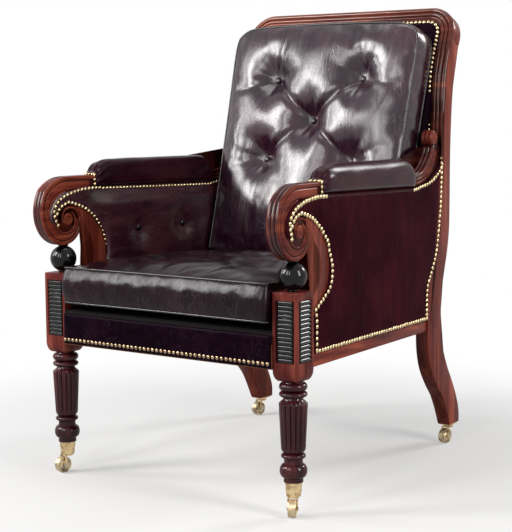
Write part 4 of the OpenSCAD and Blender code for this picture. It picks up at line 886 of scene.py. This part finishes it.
# Back legs, side rails and crest
leg_front = [(s + 3.0 * min(1.0, max(0.0, (z - 690) / 18)), z) for s, z in FRONT_EDGE]
leg_outline = clean(leg_front + REAR_EDGE[::-1], 0.8)
RAIL_S, RAIL_STEP = RAIL_FRONT + 0.1, 311
rail_outline = [(RAIL_S, RAIL_FOOT), (RAIL_BACK, RAIL_FOOT), (RAIL_BACK, RAIL_TOP), (RAIL_S, RAIL_TOP)]
edge_outline = rail_outline[:2] + [(RAIL_BACK, RAIL_STEP), (SUPPORT_BACK, RAIL_STEP)]
edge_outline += [(SUPPORT_BACK, RAIL_TOP), (RAIL_S, RAIL_TOP)]
for left, tag in SIDES:
    leg = plate("back_leg_sabre_" + tag, leg_outline, UP_IN, UP_IN + UP_T, left, WOOD_Z, 2.6, 4)
    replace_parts(leg, "back_leg_" + tag)
    board = plate("side_rail_board_" + tag, rail_outline, -14, 12, left, WOOD_Y, 1.2)
    edge = plate("side_rail_edge_" + tag, edge_outline, 11.5, 14.6, left, WOOD_Y, 1.2)
    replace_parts(board, "side_rail_" + tag)
    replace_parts(edge, "side_rail_" + tag)


def crest_line(off, n=16):
    """The crest's outline on its plane, off in from its edge, from one joint round to the other."""
    w, h, r = CREST_HALF - off, CREST_UP - off, max(CREST_R - off, CREST_R * 0.45)
    return [(w, 0.3)] + arc((w - r, h - r), r, 0, 90, n) + arc((r - w, h - r), r, 90, 180, n) + [(-w, 0.3)]


crest_outline = clean(crest_line(0) + crest_line(CREST_FACE)[::-1], 0.3)
crest_ob = plate("crest_moulded", crest_outline, -3.0, -CREST_D, False, WOOD_X, 2.6, 4, crest)
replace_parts(crest_ob, "crest_rail")


def frame_line(off, stand):
    """Along the front of uprights and crest, off in from the outer face and stand proud of the front."""
    up = [p for p in FRONT_EDGE if 700 < p[1] < JOINT[1] - 2]
    legs = []
    for left in (False, True):
        leg = []
        for p, q in zip(up, offset(up, 1.0)):
            d = Vector((q[0] - p[0], q[1] - p[1]))
            if d.x > 0:
                d = -d
            leg.append(side(UP_IN + UP_T - off, p[0] + d.x * stand, p[1] + d.y * stand, left))
        legs.append(leg)
    return legs[0] + [crest(w, h, stand) for w, h in crest_line(off)[1:-1]] + legs[1][::-1]


# Across the face: a broad round, a quirk, a smaller round, a quirk, a bead and a flat
MOULD = [(0.4, -9), (0.2, -4.5), (0.9, -2.0), (2.6, 0.0), (5.2, 1.4), (7.8, 1.6), (10.2, 0.6), (11.8, -1.0),
         (12.5, -2.6), (13.3, -2.6), (14.0, -0.6), (15.6, 0.9), (17.8, 1.4), (20.0, 0.8), (21.4, -0.6),
         (22.0, -2.4), (22.8, -2.4), (23.4, -0.4), (24.8, 0.8), (26.4, 0.9), (27.8, 0.0), (28.6, -1.4),
         (32.6, -1.5), (33.0, -2.2), (33.0, -9)]
lines = [frame_line(off, stand) for off, stand in MOULD]
verts = [p for across in zip(*lines) for p in across]
# The mouldings use the darker mahogany, which paints shade on the front of the frame
sharp(outward(add_mesh("frame_mouldings", verts, loft(len(lines[0]), len(MOULD)), REED_X)), 40)

# Leather panels
EDGE_RINGS = (1.2, 3.0, 6.0, 11.0)


def panel(name, outline, height, place, mat, step, slot, depth):
    """A stuffed panel inside an outline: height(x, y, d) is its rise at distance d from the edge, and
    place(x, y, h) puts it in the frame."""
    edge = [tuple(p) for p in resample(clean(outline, 0.5), step * 0.6, True)]
    m = len(edge)
    pts = [Vector(p) for p in edge]
    for r in EDGE_RINGS:
        pts += [Vector(p) for p in inset_outline(edge, r) if inside(p, edge) and dist_to(p, edge) > r * 0.93]
    xs, ys = [p[0] for p in edge], [p[1] for p in edge]
    odd = False
    y = min(ys) + step / 2
    while y < max(ys):
        x = min(xs) + (step / 2 if odd else step * 0.95)
        while x < max(xs):
            if inside((x, y), edge) and dist_to((x, y), edge) > EDGE_RINGS[-1] + step * 0.5:
                pts.append(Vector((x, y)))
            x += step
        y += step * 0.87
        odd = not odd
    flat = [Vector((p[0], p[1])) for p in pts]
    points, _, cells, _, _, _ = delaunay_2d_cdt(flat, [(i, (i + 1) % m) for i in range(m)], [], 1, 1e-4)
    faces = []
    for cell in cells:
        middle = [sum(points[i][axis] for i in cell[:3]) / 3 for axis in (0, 1)]
        if inside(middle, edge):
            faces.append(tuple(cell))
    verts = [place(p.x, p.y, height(p.x, p.y, dist_to((p.x, p.y), edge))) for p in points]
    n = len(verts)
    verts += [place(p[0], p[1], -depth) for p in edge]
    found = {(round(p.x, 3), round(p.y, 3)): i for i, p in enumerate(points)}
    rim = [found.get((round(p[0], 3), round(p[1], 3)), i) for i, p in enumerate(edge)]
    faces += [(rim[i], rim[(i + 1) % m], n + (i + 1) % m, n + i) for i in range(m)]
    faces.append(tuple(n + i for i in range(m)))
    return sharp(outward(add_mesh(name, verts, faces, mat, "chair", slot)), 65)


def window(z):
    """Outline of the leather of a side, between band, support and back leg and down to height z."""
    rear = [p for p in FRONT_EDGE if z < p[1] < under_arc[-1][1]]
    foot = [(at_z(FRONT_EDGE, z), z)]
    return [(SUPPORT_BACK, z)] + curve_arc + hub_arc[1:] + band_edge + rear[::-1] + foot


BUTTONS_IN = [(108 + 382 * t, 386 + 221 * 0.62) for t in (0.3, 0.7)]
OUT_FACE = 13.0


def side_rise(d):
    return rise(d, 2.2, 7) + rise(d, 4.2, 90)


def outer_height(x, y, d, left):
    slack = noise.noise(Vector((x * 0.012, y * 0.006, 3.0 if left else 0.0)))
    return side_rise(d) + 0.7 * slack * min(1, d / 25)


def inner_height(x, y, d):
    """One stuffed face over lining and squab, drawn in under the buttons."""
    e = max(0.0, min(1.0, (x - 60) / 70)) * max(0.0, min(1.0, (560 - x) / 60))
    e *= max(0.0, min(1.0, (612 - y) / 26))
    k = max(dent((x, y), q, 26, 7) for q in BUTTONS_IN)
    pull = 0.0
    for q in BUTTONS_IN:
        spoke = cos(8 * atan2(y - q[1], x - q[0]) + 1.1)
        pull += 0.9 * spoke * exp(-((distance((x, y), q) - 20) / 14) ** 2)
    wave = 0.6 * noise.noise(Vector((x * 0.01, y * 0.02, 7.0)))
    return (rise(d, 2.4, 8) + 10.5 * e ** 0.8) * (1 - 0.78 * k) + pull * 0.9 + wave


def dent(p, b, wide, flat=9.0):
    """1 over a button at b, and 0 well away from it."""
    return exp(-(max(0.0, distance(p, b) - flat) / wide) ** 2)


for left, tag in SIDES:
    ob = panel("side_hide_" + tag, window(RAIL_STEP), lambda x, y, d: outer_height(x, y, d, left),
               lambda x, y, h: side(OUT_FACE + h, x, y, left), HIDE_OUT, 11.0, "outside_leather", 0.6)
    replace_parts(ob, "side_leather_" + tag)
    ob = panel("inner_arm_hide_" + tag, window(345), inner_height,
               lambda x, y, h: side(-OUT_FACE - h, x, y, left), HIDE_IN, 8.0, "leather", 0.6)
    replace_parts(ob, "inner_leather_" + tag)
    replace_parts(ob, "inner_squab_" + tag)


def dome(c, normal, outline, tip, n):
    """A round head: rings of radius and height along the normal, closed by a tip and a flat underside."""
    c, z = Vector(c), Vector(normal).normalized()
    u = z.orthogonal().normalized()
    w = z.cross(u)
    turns = [2 * pi * k / n for k in range(n)]
    verts = [c + u * (r * cos(a)) + w * (r * sin(a)) + z * h for r, h in outline for a in turns]
    verts.append(c + z * tip)
    m = len(outline) - 1
    return verts, loft(m + 1, n, ends=1) + [(m * n + k, m * n + (k + 1) % n, (m + 1) * n) for k in range(n)]


def button(c, normal, r, t):
    """A covered button: a domed disc with a tucked rim."""
    turns = quarter(5)[:-1]
    outline = [(r * 0.86, -t * 0.3), (r, t * 0.1)] + [(r * cos(a), t * (0.25 + 0.75 * sin(a))) for a in turns]
    return dome(c, normal, outline, t, 20)


def nail(c, normal, r=4.6, h=3.3):
    turns = quarter(4)[:-1]
    return dome(c, normal, [(r * cos(a), h * sin(a)) for a in turns], h, 12)


def buttons(name, places, normal, r, t, body):
    v, f = join([button(p, normal, r, t) for p in places])
    return outward(add_mesh(name, v, f, PIPING, body, "button_leather"))


for left, tag in SIDES:
    inward = side(-20, 200, 500, left) - side(-19, 200, 500, left)
    places = [side(-OUT_FACE - 4.2, *q, left) for q in BUTTONS_IN]
    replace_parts(buttons("inner_buttons_" + tag, places, inward, 7.6, 4.2, "chair"), "squab_buttons_" + tag)

# Arm pads
PAD_LENGTH, PAD_END, PAD_HALF, PAD_UNDER = PAD_BACK - PAD_FRONT + 1.0, 24.0, 25.8, 14.3
ends = [(PAD_END * (1 - cos(a)), sin(a)) for a in quarter(9)]
pad_rows = ends + [(PAD_END + (PAD_LENGTH - 2 * PAD_END) * i / 80, 1.0) for i in range(1, 81)]
pad_rows += [(PAD_LENGTH - d, q) for d, q in ends[-2::-1]]


def arm_pad(tag, left):
    """A stuffed pad, full in the middle and drawn down to its ends, with pleats gathered at the front."""
    n = 56
    verts = []
    for d, q in pad_rows:
        t = d / PAD_LENGTH
        s = PAD_FRONT - 1.0 + d
        w = PAD_HALF * (1 - 0.06 * abs(2 * t - 1) ** 3) * (0.66 + 0.34 * q)
        low = BAND_FRONT + (BAND_BACK - BAND_FRONT) * t + 1.0
        drop = max(0.0, 1 - min(d, (PAD_LENGTH - d) * 1.15) / 62.0)
        top = PAD_SEAT + (682.5 - 2 * t - PAD_SEAT) * sqrt(1 - 0.8 * drop * drop) * (0.45 + 0.55 * q)
        end = max(0.0, 1 - d / 55.0)
        for k in range(n):
            a = -0.16 + (pi + 0.32) * k / (n - 1)
            c, si = cos(a), max(0.0, sin(a))
            slack = noise.noise(Vector((s * 0.016, a * 1.3, 11.0 if left else 2.0)))
            fold = end ** 1.2 * q * 1.8 * sin(a * 12 + 1.4 * sin(a * 3) + d * 0.06) * si ** 0.3
            fold += 0.9 * slack * min(1.0, si * 2) * q
            x = (1 if c > 0 else -1) * w * abs(c) ** 0.78 * (1 - 0.1 * (1 - si) ** 3) + fold * c
            z = low + 3 + (top - low - 3) * si ** 0.72 + fold * si
            if a < 0 or a > pi:
                x, z = (PAD_UNDER if c > 0 else -PAD_UNDER), low
            verts.append(side(x, s, z, left))
    faces = loft(len(pad_rows), n)
    return sharp(outward(add_mesh("arm_pad_hide_" + tag, verts, faces, HIDE_PAD, "chair", "leather")), 60)


for left, tag in SIDES:
    ob = arm_pad(tag, left)
    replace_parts(ob, "arm_pad_" + tag)


# Front rail
def cover_height(x, y, d):
    roll = rise(d, 2.4, 26) * (1 if y > 306 else 0.5)
    return rise(d, 1.8, 7) + roll + 0.5 * noise.noise(Vector((x * 0.02, y * 0.05, 1)))


cover = [(-269.6, 293), (269.6, 293), (269.6, 358), (-269.6, 358)]
ob = panel("front_rail_hide", cover, cover_height, lambda x, y, h: front(x, -33.4 - h, y), HIDE, 9.0,
           "leather", 2.5)
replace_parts(ob, "front_rail_cover")

# Inside and outside of the back
CREST_IN = CREST_UP - CREST_FACE
PANEL_GAP, COLUMNS = 0.6, 46
MEET_S = 0.911 * RUN
BACK_FOOT = (533, 465)
MEET_Z = BACK_FOOT[1] + (MEET_S - BACK_FOOT[0]) / tan(BACK_LEAN)


def on_slope(z):
    """How far back the slope of the back lies at height z."""
    return BACK_FOOT[0] + (z - BACK_FOOT[1]) * tan(BACK_LEAN)


def up_crest(base, heights):
    """Points of a side profile on the crest, at heights above base along its lean."""
    return [(base[0] + h * sin(LEAN), base[1] + h * cos(LEAN)) for h in heights]


profile_in = [(on_slope(z), z) for z in range(350, int(MEET_Z), 12)] + [(MEET_S, MEET_Z)]
profile_in += [p for p in FRONT_EDGE if MEET_Z + 4 < p[1] < JOINT[1] - 1] + [JOINT]
profile_in += up_crest(JOINT, (8, 16, 24, 32, 38, 42, CREST_IN - 1.2, CREST_IN - 0.2))
profile_out = [p for p in REAR_EDGE if 312 < p[1] < JOINT_REAR[1]]
profile_out += up_crest(JOINT_REAR, (0, 8, 16, 24, 30, 36))
profile_out = [(s - 2.5, z) for s, z in profile_out]


def half_width(s, z):
    """Half the width between the uprights, and round the crest's inner corners above the joint."""
    if z <= JOINT[1]:
        return LEG_X + (UP_IN - PANEL_GAP) * cos(SPLAY) - s * tan(SPLAY)
    w, r = CREST_HALF - CREST_FACE - PANEL_GAP, CREST_R * 0.5
    over = (z - JOINT[1]) / cos(LEAN) - (CREST_IN - r)
    return w if over < 0 else w - r + sqrt(max(0.0, r * r - min(over, r) ** 2))


def back_panel(name, outline, step, puff, mat, slot, sign, thick):
    """A stuffed sheet between the uprights that follows a side profile."""
    line = [tuple(v) for v in resample(outline, step)]
    rows, n = len(line), COLUMNS + 1
    face, rear = [], []
    for i, (s, z) in enumerate(line):
        half = half_width(s, z)
        a, b = line[max(i - 1, 0)], line[min(i + 1, rows - 1)]
        t = Vector((b[0] - a[0], b[1] - a[1])).normalized()
        normal = Vector((-t.y, t.x)) * sign
        for j in range(n):
            u = -1 + 2 * j / COLUMNS
            x = (1 if u > 0 else -1) * abs(u) ** 0.8 * half
            d = min(half - abs(x), (line[-1][1] - z) / cos(LEAN) + 0.5, z - line[0][1] + 4)
            slack = 0.7 * noise.noise(Vector((x * 0.012, z * 0.012, 5))) * min(1, d / 30)
            h = rise(d, puff, 34) + rise(d, 1.5, 6) + slack
            face.append(front(x, s + normal.x * h, z + normal.y * h))
            rear.append(front(x, s - normal.x * thick, z - normal.y * thick))
    k = len(face)
    faces = []
    for i in range(rows - 1):
        for j in range(COLUMNS):
            q = i * n + j
            faces.append((q, q + 1, q + n + 1, q + n))
            faces.append((k + q, k + q + n, k + q + n + 1, k + q + 1))
    sides = [(i * n + j, (i + 1) * n + j) for i in range(rows - 1) for j in (0, COLUMNS)]
    sides += [(i * n + j, i * n + j + 1) for j in range(COLUMNS) for i in (0, rows - 1)]
    faces += [(a, b, k + b, k + a) for a, b in sides]
    ob = outward(add_mesh(name, face + rear, faces, mat, "chair", slot))
    return sharp(ob, 60)


ob = back_panel("inside_back_hide", profile_in, 9, 4.0, HIDE, "leather", 1, 10)
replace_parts(ob, "inside_back")
ob = back_panel("outside_back_hide", profile_out, 10, 0.0, HIDE_OUT, "outside_leather", -1, 2)
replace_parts(ob, "outside_back")


# Cushions
def even(n):
    return [-1 + 2 * i / n for i in range(n + 1)]


def pillow(nu, nv, xy, top, low, steps, place, belly):
    """A closed cushion: two faces and four boxed sides, all on one even grid. Returns verts, faces, and
    the index of each seam."""
    us, vs = even(nu), even(nv)
    verts, faces = [], []
    n = nu + 1
    for height in (top, low):
        verts += [place(*xy(u, v), height(u, v)) for v in vs for u in us]
    c = len(verts) // 2
    for j in range(nv):
        for i in range(nu):
            q = j * n + i
            faces.append((q, q + 1, q + n + 1, q + n))
            faces.append((c + q, c + q + n, c + q + n + 1, c + q + 1))
    ring = list(range(nu)) + [j * n + nu for j in range(nv)]
    ring += [nv * n + i for i in range(nu, 0, -1)] + [j * n for j in range(nv, 0, -1)]
    rows = [ring]
    for k in range(1, steps):
        t = k / steps
        bulge = 4 * t * (1 - t)
        row = []
        for q in ring:
            j, i = divmod(q, n)
            u, v = us[i], vs[j]
            p = xy(u, v)
            m = Vector((u if abs(u) == 1 else 0, v if abs(v) == 1 else 0))
            m = m.normalized() if m.length else m
            row.append(len(verts))
            verts.append(place(p[0] + m.x * 3.0 * bulge, p[1] + m.y * (belly if v < 0 else 3.0) * bulge,
                               top(u, v) * (1 - t) + low(u, v) * t))
        rows.append(row)
    rows.append([c + q for q in ring])
    for a, b in zip(rows, rows[1:]):
        for k in range(len(ring)):
            m = (k + 1) % len(ring)
            faces.append((a[k], b[k], b[m], a[m]))
    return verts, faces, rows[0], rows[-1]


def swell(u, v, h):
    return h * ((1 - abs(u) ** 2.8) * (1 - abs(v) ** 2.8)) ** 0.6


def inflate(ob, pins, cap, frames=20, pressure=4.0, slack=0.03):
    """Cloth under pressure, held at its pinned points, with its movement capped; the result is applied."""
    start = [v.co.copy() for v in ob.data.vertices]
    held = ob.vertex_groups.new(name="pin")
    held.add(sorted(pins), 1.0, "REPLACE")
    cm = ob.modifiers.new("cloth", "CLOTH")
    st = cm.settings
    st.quality = 5
    st.mass = 0.35
    st.tension_stiffness = st.compression_stiffness = 18
    st.shear_stiffness = 8
    st.bending_stiffness = 0.6
    st.use_pressure = True
    st.uniform_pressure_force = pressure
    st.shrink_min = st.shrink_max = -slack
    st.effector_weights.gravity = 0.0
    st.vertex_group_mass = "pin"
    cm.collision_settings.use_collision = False
    cm.point_cache.frame_start, cm.point_cache.frame_end = 1, frames
    scene = bpy.context.scene
    scene.frame_start, scene.frame_end = 1, frames
    for fr in range(1, frames + 1):
        scene.frame_set(fr)
    swollen = ob.evaluated_get(bpy.context.evaluated_depsgraph_get())
    moved = [v.co.copy() for v in swollen.to_mesh().vertices]
    swollen.to_mesh_clear()
    ob.modifiers.remove(cm)
    scene.frame_set(1)
    shift = [b - a for a, b in zip(start, moved)]
    near = [[] for _ in start]
    for e in ob.data.edges:
        near[e.vertices[0]].append(e.vertices[1])
        near[e.vertices[1]].append(e.vertices[0])
    for _ in range(5):
        mean = [sum((shift[j] for j in q), Vector()) / len(q) if q else shift[i] for i, q in enumerate(near)]
        shift = [s if i in pins else s.lerp(m, 0.5) for i, (s, m) in enumerate(zip(shift, mean))]
    for v, a, d in zip(ob.data.vertices, start, shift):
        far = d.length
        v.co = a + (d * (cap / far * (1 - exp(-far / cap))) if far > 1e-9 else d)
    ob.data.update()
    ob.vertex_groups.clear()


def tuft_pull(p, spots, seed):
    """Folds that fan out of the buttons."""
    out = 0.0
    for i, b in enumerate(spots):
        r = distance(p, b)
        if r > 130:
            continue
        a = atan2(p[1] - b[1], p[0] - b[0])
        k = cos(7 * a + seed + i * 1.7) + 0.6 * cos(11 * a + 2.3 * i + seed) + 0.4 * cos(17 * a + i)
        out += k * exp(-((r - 26) / 26) ** 2) if r > 26 else k * (r / 26) ** 2
    return out


def faded(u, v, power):
    """1 over the middle of a cushion and 0 at its edges."""
    return (1 - u ** power) * (1 - v ** power)


SEAT_HALF, SEAT_FRONT, SEAT_BACK, SEAT_SIDE, SEAT_CROWN, SEAT_BELLY = 265.0, 38.0, 508.0, 74.0, 22.0, 18.0
SEAT_Z = 365 + 0.3 + SEAT_BELLY + SEAT_SIDE
SEAT_LEN = SEAT_BACK + SEAT_FRONT
SEAT_TUFTS = [(-0.48, -0.4), (0.48, -0.4), (0, 0.02), (-0.48, 0.44), (0.48, 0.44)]


def seat_xy(u, v):
    w = (SEAT_HALF - (v + 1) / 2 * SEAT_LEN * tan(SPLAY)) * (1 - 0.012 * (1 - v * v))
    y = -SEAT_FRONT + SEAT_LEN * (v + 1) / 2 - 5 * (1 - u * u) * v - 3.0 * abs(u) ** 10 * v
    return (u * w * (1 - 0.012 * abs(v) ** 10), y)


seat_spots = [seat_xy(*b) for b in SEAT_TUFTS]


def seat_top(u, v):
    p = seat_xy(u, v)
    h = swell(u, v, SEAT_CROWN)
    k = max(dent(p, b, 26) * (h - swell(*t, SEAT_CROWN) + 9) for b, t in zip(seat_spots, SEAT_TUFTS))
    w = 1.6 * noise.noise(Vector((p[0] * 0.02, p[1] * 0.03, 4))) + 0.7 * tuft_pull(p, seat_spots, 0.4)
    return h - k * faded(u, v, 12) + w * faded(u, v, 8)


def seat_low(u, v):
    return -SEAT_SIDE - swell(u, v, SEAT_BELLY)


def seat_place(x, y, z):
    dy = y + SEAT_FRONT
    s = -SEAT_FRONT + dy * cos(SLOPE) + z * sin(SLOPE)
    return front(x, s, SEAT_Z - dy * sin(SLOPE) + z * cos(SLOPE))


BACK_HALF, BACK_H, BACK_SIDE, BACK_CROWN, BACK_BELLY = 252.0, 541.0, 66.0, 26.0, 12.0
BACK_TUFTS = [(-0.48, 0.53), (0.48, 0.53), (0, 0.16), (-0.48, -0.18), (0.48, -0.18)]


def back_xy(u, v):
    up = max(v, 0)
    w = BACK_HALF * (0.985 + 0.015 * v) * (1 - 0.012 * (1 - v * v))
    y = (v + 1) / 2 - 0.04 * abs(u) ** 14 * up ** 6 + 0.010 * (1 - u * u) * up
    return (u * w * (1 - 0.035 * up ** 10), y * BACK_H)


back_spots = [back_xy(*b) for b in BACK_TUFTS]


def crease(p, a, b):
    """A fold's depth at p, for a fold that runs between two buttons."""
    dx, dy = b[0] - a[0], b[1] - a[1]
    t = max(0.0, min(1.0, ((p[0] - a[0]) * dx + (p[1] - a[1]) * dy) / (dx * dx + dy * dy)))
    d = distance(p, (a[0] + t * dx, a[1] + t * dy))
    return exp(-(d / 9) ** 2) * (0.35 + 0.65 * sin(pi * t)) if 0 < t < 1 else 0.0


def back_front(u, v):
    p = back_xy(u, v)
    h = swell(u, v, BACK_CROWN)
    k = max(dent(p, b, 30) * (h - swell(*t, BACK_CROWN) + 27) for b, t in zip(back_spots, BACK_TUFTS))
    fold = max(crease(p, back_spots[2], back_spots[i]) for i in (0, 1, 3, 4))
    w = 2.2 * noise.noise(Vector((p[0] * 0.018, p[1] * 0.012, 9))) + 1.5 * tuft_pull(p, back_spots, 1.9)
    return h - k * faded(u, v, 12) - 7.5 * fold + w * faded(u, v, 8)


def back_rear(u, v):
    return -BACK_SIDE - swell(u, v, BACK_BELLY)


def rest_height(v):
    """How high the back cushion has to stand on its slope to clear the seat cushion at v."""
    s = -SEAT_FRONT + SEAT_LEN * (v + 1) / 2
    z = SEAT_Z - (s + SEAT_FRONT) * tan(SLOPE) + swell(0, v, SEAT_CROWN)
    slope = tan(BACK_LEAN)
    return (z - (BACK_FOOT[0] - BACK_FOOT[1] * slope - s) * slope) / (1 + slope * slope)


LOW_Z = 0.3 + max(rest_height(0.6 + 0.4 * i / 20) for i in range(21))
LOW_S = on_slope(LOW_Z)


def back_place(x, y, z):
    z = z + BACK_SIDE + BACK_BELLY + 0.3
    s = LOW_S + y * sin(BACK_LEAN) - z * cos(BACK_LEAN)
    return front(x, s, LOW_Z + y * cos(BACK_LEAN) + z * sin(BACK_LEAN))


def cushion(name, nu, nv, xy, top, low, place, tufts, mat, body, cap, belly):
    """Builds, inflates and smooths a cushion. Returns it, its two seams and the places of its buttons."""
    verts, faces, *seams = pillow(nu, nv, xy, top, low, 12, place, belly)
    ob = outward(add_mesh(name, verts, faces, mat, body, "cushion_leather"))
    c = (nu + 1) * (nv + 1)
    grid = [(u, v) for v in even(nv) for u in even(nu)]
    spots = [xy(*b) for b in tufts]
    pins = set(seams[0] + seams[1])
    pins |= {i for i, g in enumerate(grid) if min(distance(xy(*g), b) for b in spots) < 11}
    # The underside rests on what carries it, so it is held too
    pins |= set(range(c, 2 * c))
    inflate(ob, pins, cap)
    at = [v.co * 1000 for v in ob.data.vertices]
    near = [min(range(c), key=lambda q: (grid[q][0] - b[0]) ** 2 + (grid[q][1] - b[1]) ** 2) for b in tufts]
    subdivide(ob)
    return ob, [[at[i] for i in s] for s in seams], [at[i] for i in near]


def trim(body, place, seams, at, lift, deep):
    """The piping along both seams, and the covered buttons."""
    lines = [resample(s, 5, True) for s in seams]
    tubes(body + "_piping", lines, 2.5, PIPING, body, "cushion_leather", n=10, closed=True)
    up = place(0, 0, 1) - place(0, 0, 0)
    ob = buttons(body + "_buttons_covered", [p + up * lift for p in at], up, 7.8, deep, body)
    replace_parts(ob, body + "_buttons")


seat, seat_seams, seat_at = cushion("seat_cushion_hide", 84, 86, seat_xy, seat_top, seat_low, seat_place,
                                    SEAT_TUFTS, HIDE_SEAT, "seat", 0.010, 11.0)
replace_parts(seat, "seat_cushion")
back, back_seams, back_at = cushion("back_cushion_hide", 84, 88, back_xy, back_front, back_rear, back_place,
                                    BACK_TUFTS, HIDE_BACK, "back", 0.016, 3.0)
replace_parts(back, "back_cushion")
trim("seat", seat_place, seat_seams, seat_at, 0.6, 4.0)
trim("back", back_place, back_seams, back_at, 0.8, 4.6)

# Brass nails, in rows along the side's leather
PITCH = 10.9
N_BAND = spline([(100, 620), (74, 620), (52, 619), (30, 616), (9, 611), (-12, 604), (-30, 592), (-38.5, 577),
                 (-37, 563), (-28, 545)], 6)
N_HUB = spline([(-30, 570), (-23, 580), (-15, 586), (-5, 590), (5, 593), (15, 591), (25, 588), (46, 581),
                (66, 570), (85, 556), (99, 539), (107, 530), (114, 509), (121, 487), (122, 466), (119, 450),
                (112, 436), (101, 426), (87, 416), (61, 400)], 6)
N_STILE = [(61, 389), (61, 320)]
N_RAIL = [(61, 317.5), (550, 317.5)]
N_REAR = spline([(at_z(FRONT_EDGE, z) - 7.6, z) for z in range(326, 690, 14)], 6)
N_SWEEP = spline([(484, 611), (524, 616), (568, 625), (606, 643), (624, 662)], 6)
N_PAD = [(112, 618.5), (284, 614), (473, 610)]
N_OUTSIDE = ((N_BAND, 4.9), (N_HUB, 4.7), (N_STILE, 4.6), (N_RAIL, 4.6), (N_REAR, 4.8), (N_SWEEP, 4.4))
N_INSIDE = (N_BAND, N_HUB[:-12], N_SWEEP, N_PAD)
WINDOW = window(RAIL_STEP)
for left, tag in SIDES:
    parts = []
    out = side(1, 100, 500, left) - side(0, 100, 500, left)
    jitter = random.Random(3 if left else 4)
    for path, r in N_OUTSIDE:
        for q in resample(path, PITCH):
            e = Vector((jitter.uniform(-0.35, 0.35), jitter.uniform(-0.35, 0.35)))
            on_hide = OUT_FACE + side_rise(dist_to(q, WINDOW)) + 0.3
            o = on_hide if inside(q, WINDOW) else 15.2
            parts.append(nail(side(o, q.x + e.x, q.y + e.y, left), out, r))
    for path in N_INSIDE:
        parts += [nail(side(-15.6, *q, left), -out) for q in resample(path, PITCH)]
    # Up the front end of the pad and across the arm
    for face in (1, -1):
        for z in (629, 638.5, 648):
            parts.append(nail(side(face * 14.4, PAD_FRONT - 1.5, z, left), out * face, 4.2, 2.6))
    for o in (-9.4, 0, 9.4):
        parts.append(nail(side(o, PAD_FRONT - 2.5, 650.5, left), (0, -0.4, 1), 4.2, 2.6))
    add_mesh("nails_arm_" + tag, *join(parts), BRASS, "chair", "brass")
    # The small nails under the pad, in near-black brass that paints the pad's shadow on them
    parts = [nail(side(16.2, *q, left), out, 2.1, 1.6) for q in resample(N_PAD, 8.2)]
    add_mesh("nails_pad_" + tag, *join(parts), BRASS_SHADOWED, "chair", "brass")
slope_out = (0, -cos(BACK_LEAN), sin(BACK_LEAN))
parts = [nail(q, slope_out, 4.5) for q in resample(frame_line(CREST_FACE + 5.2, 2.0), PITCH) if q.z > 520]
add_mesh("nails_back", *join(parts), BRASS, "chair", "brass")
row = resample([(-264, 302.5), (264, 302.5)], PITCH)
parts = [nail(front(q.x, -36.6, q.y), (0, -1, 0), 4.3, 2.6) for q in row]
add_mesh("nails_front_rail", *join(parts), BRASS_DARK, "chair", "brass")

# Materials of the solids that stay
STAY = {"castor_cup": BRASS_OLD, "castor_plate": BRASS_OLD, "horn": BRASS_OLD, "axle": STEEL,
        "wheel": BRASS_WHEEL, "lower_back_rail": BEECH, "front_seat_rail": BEECH, "back_seat_rail": BEECH,
        "corner_blocks": BEECH, "seat_webbing": WEB, "seat_deck": DECK}
for name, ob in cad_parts.items():
    for start, mat in STAY.items():
        if name.startswith(start):
            for slot in ob.material_slots:
                slot.material = mat
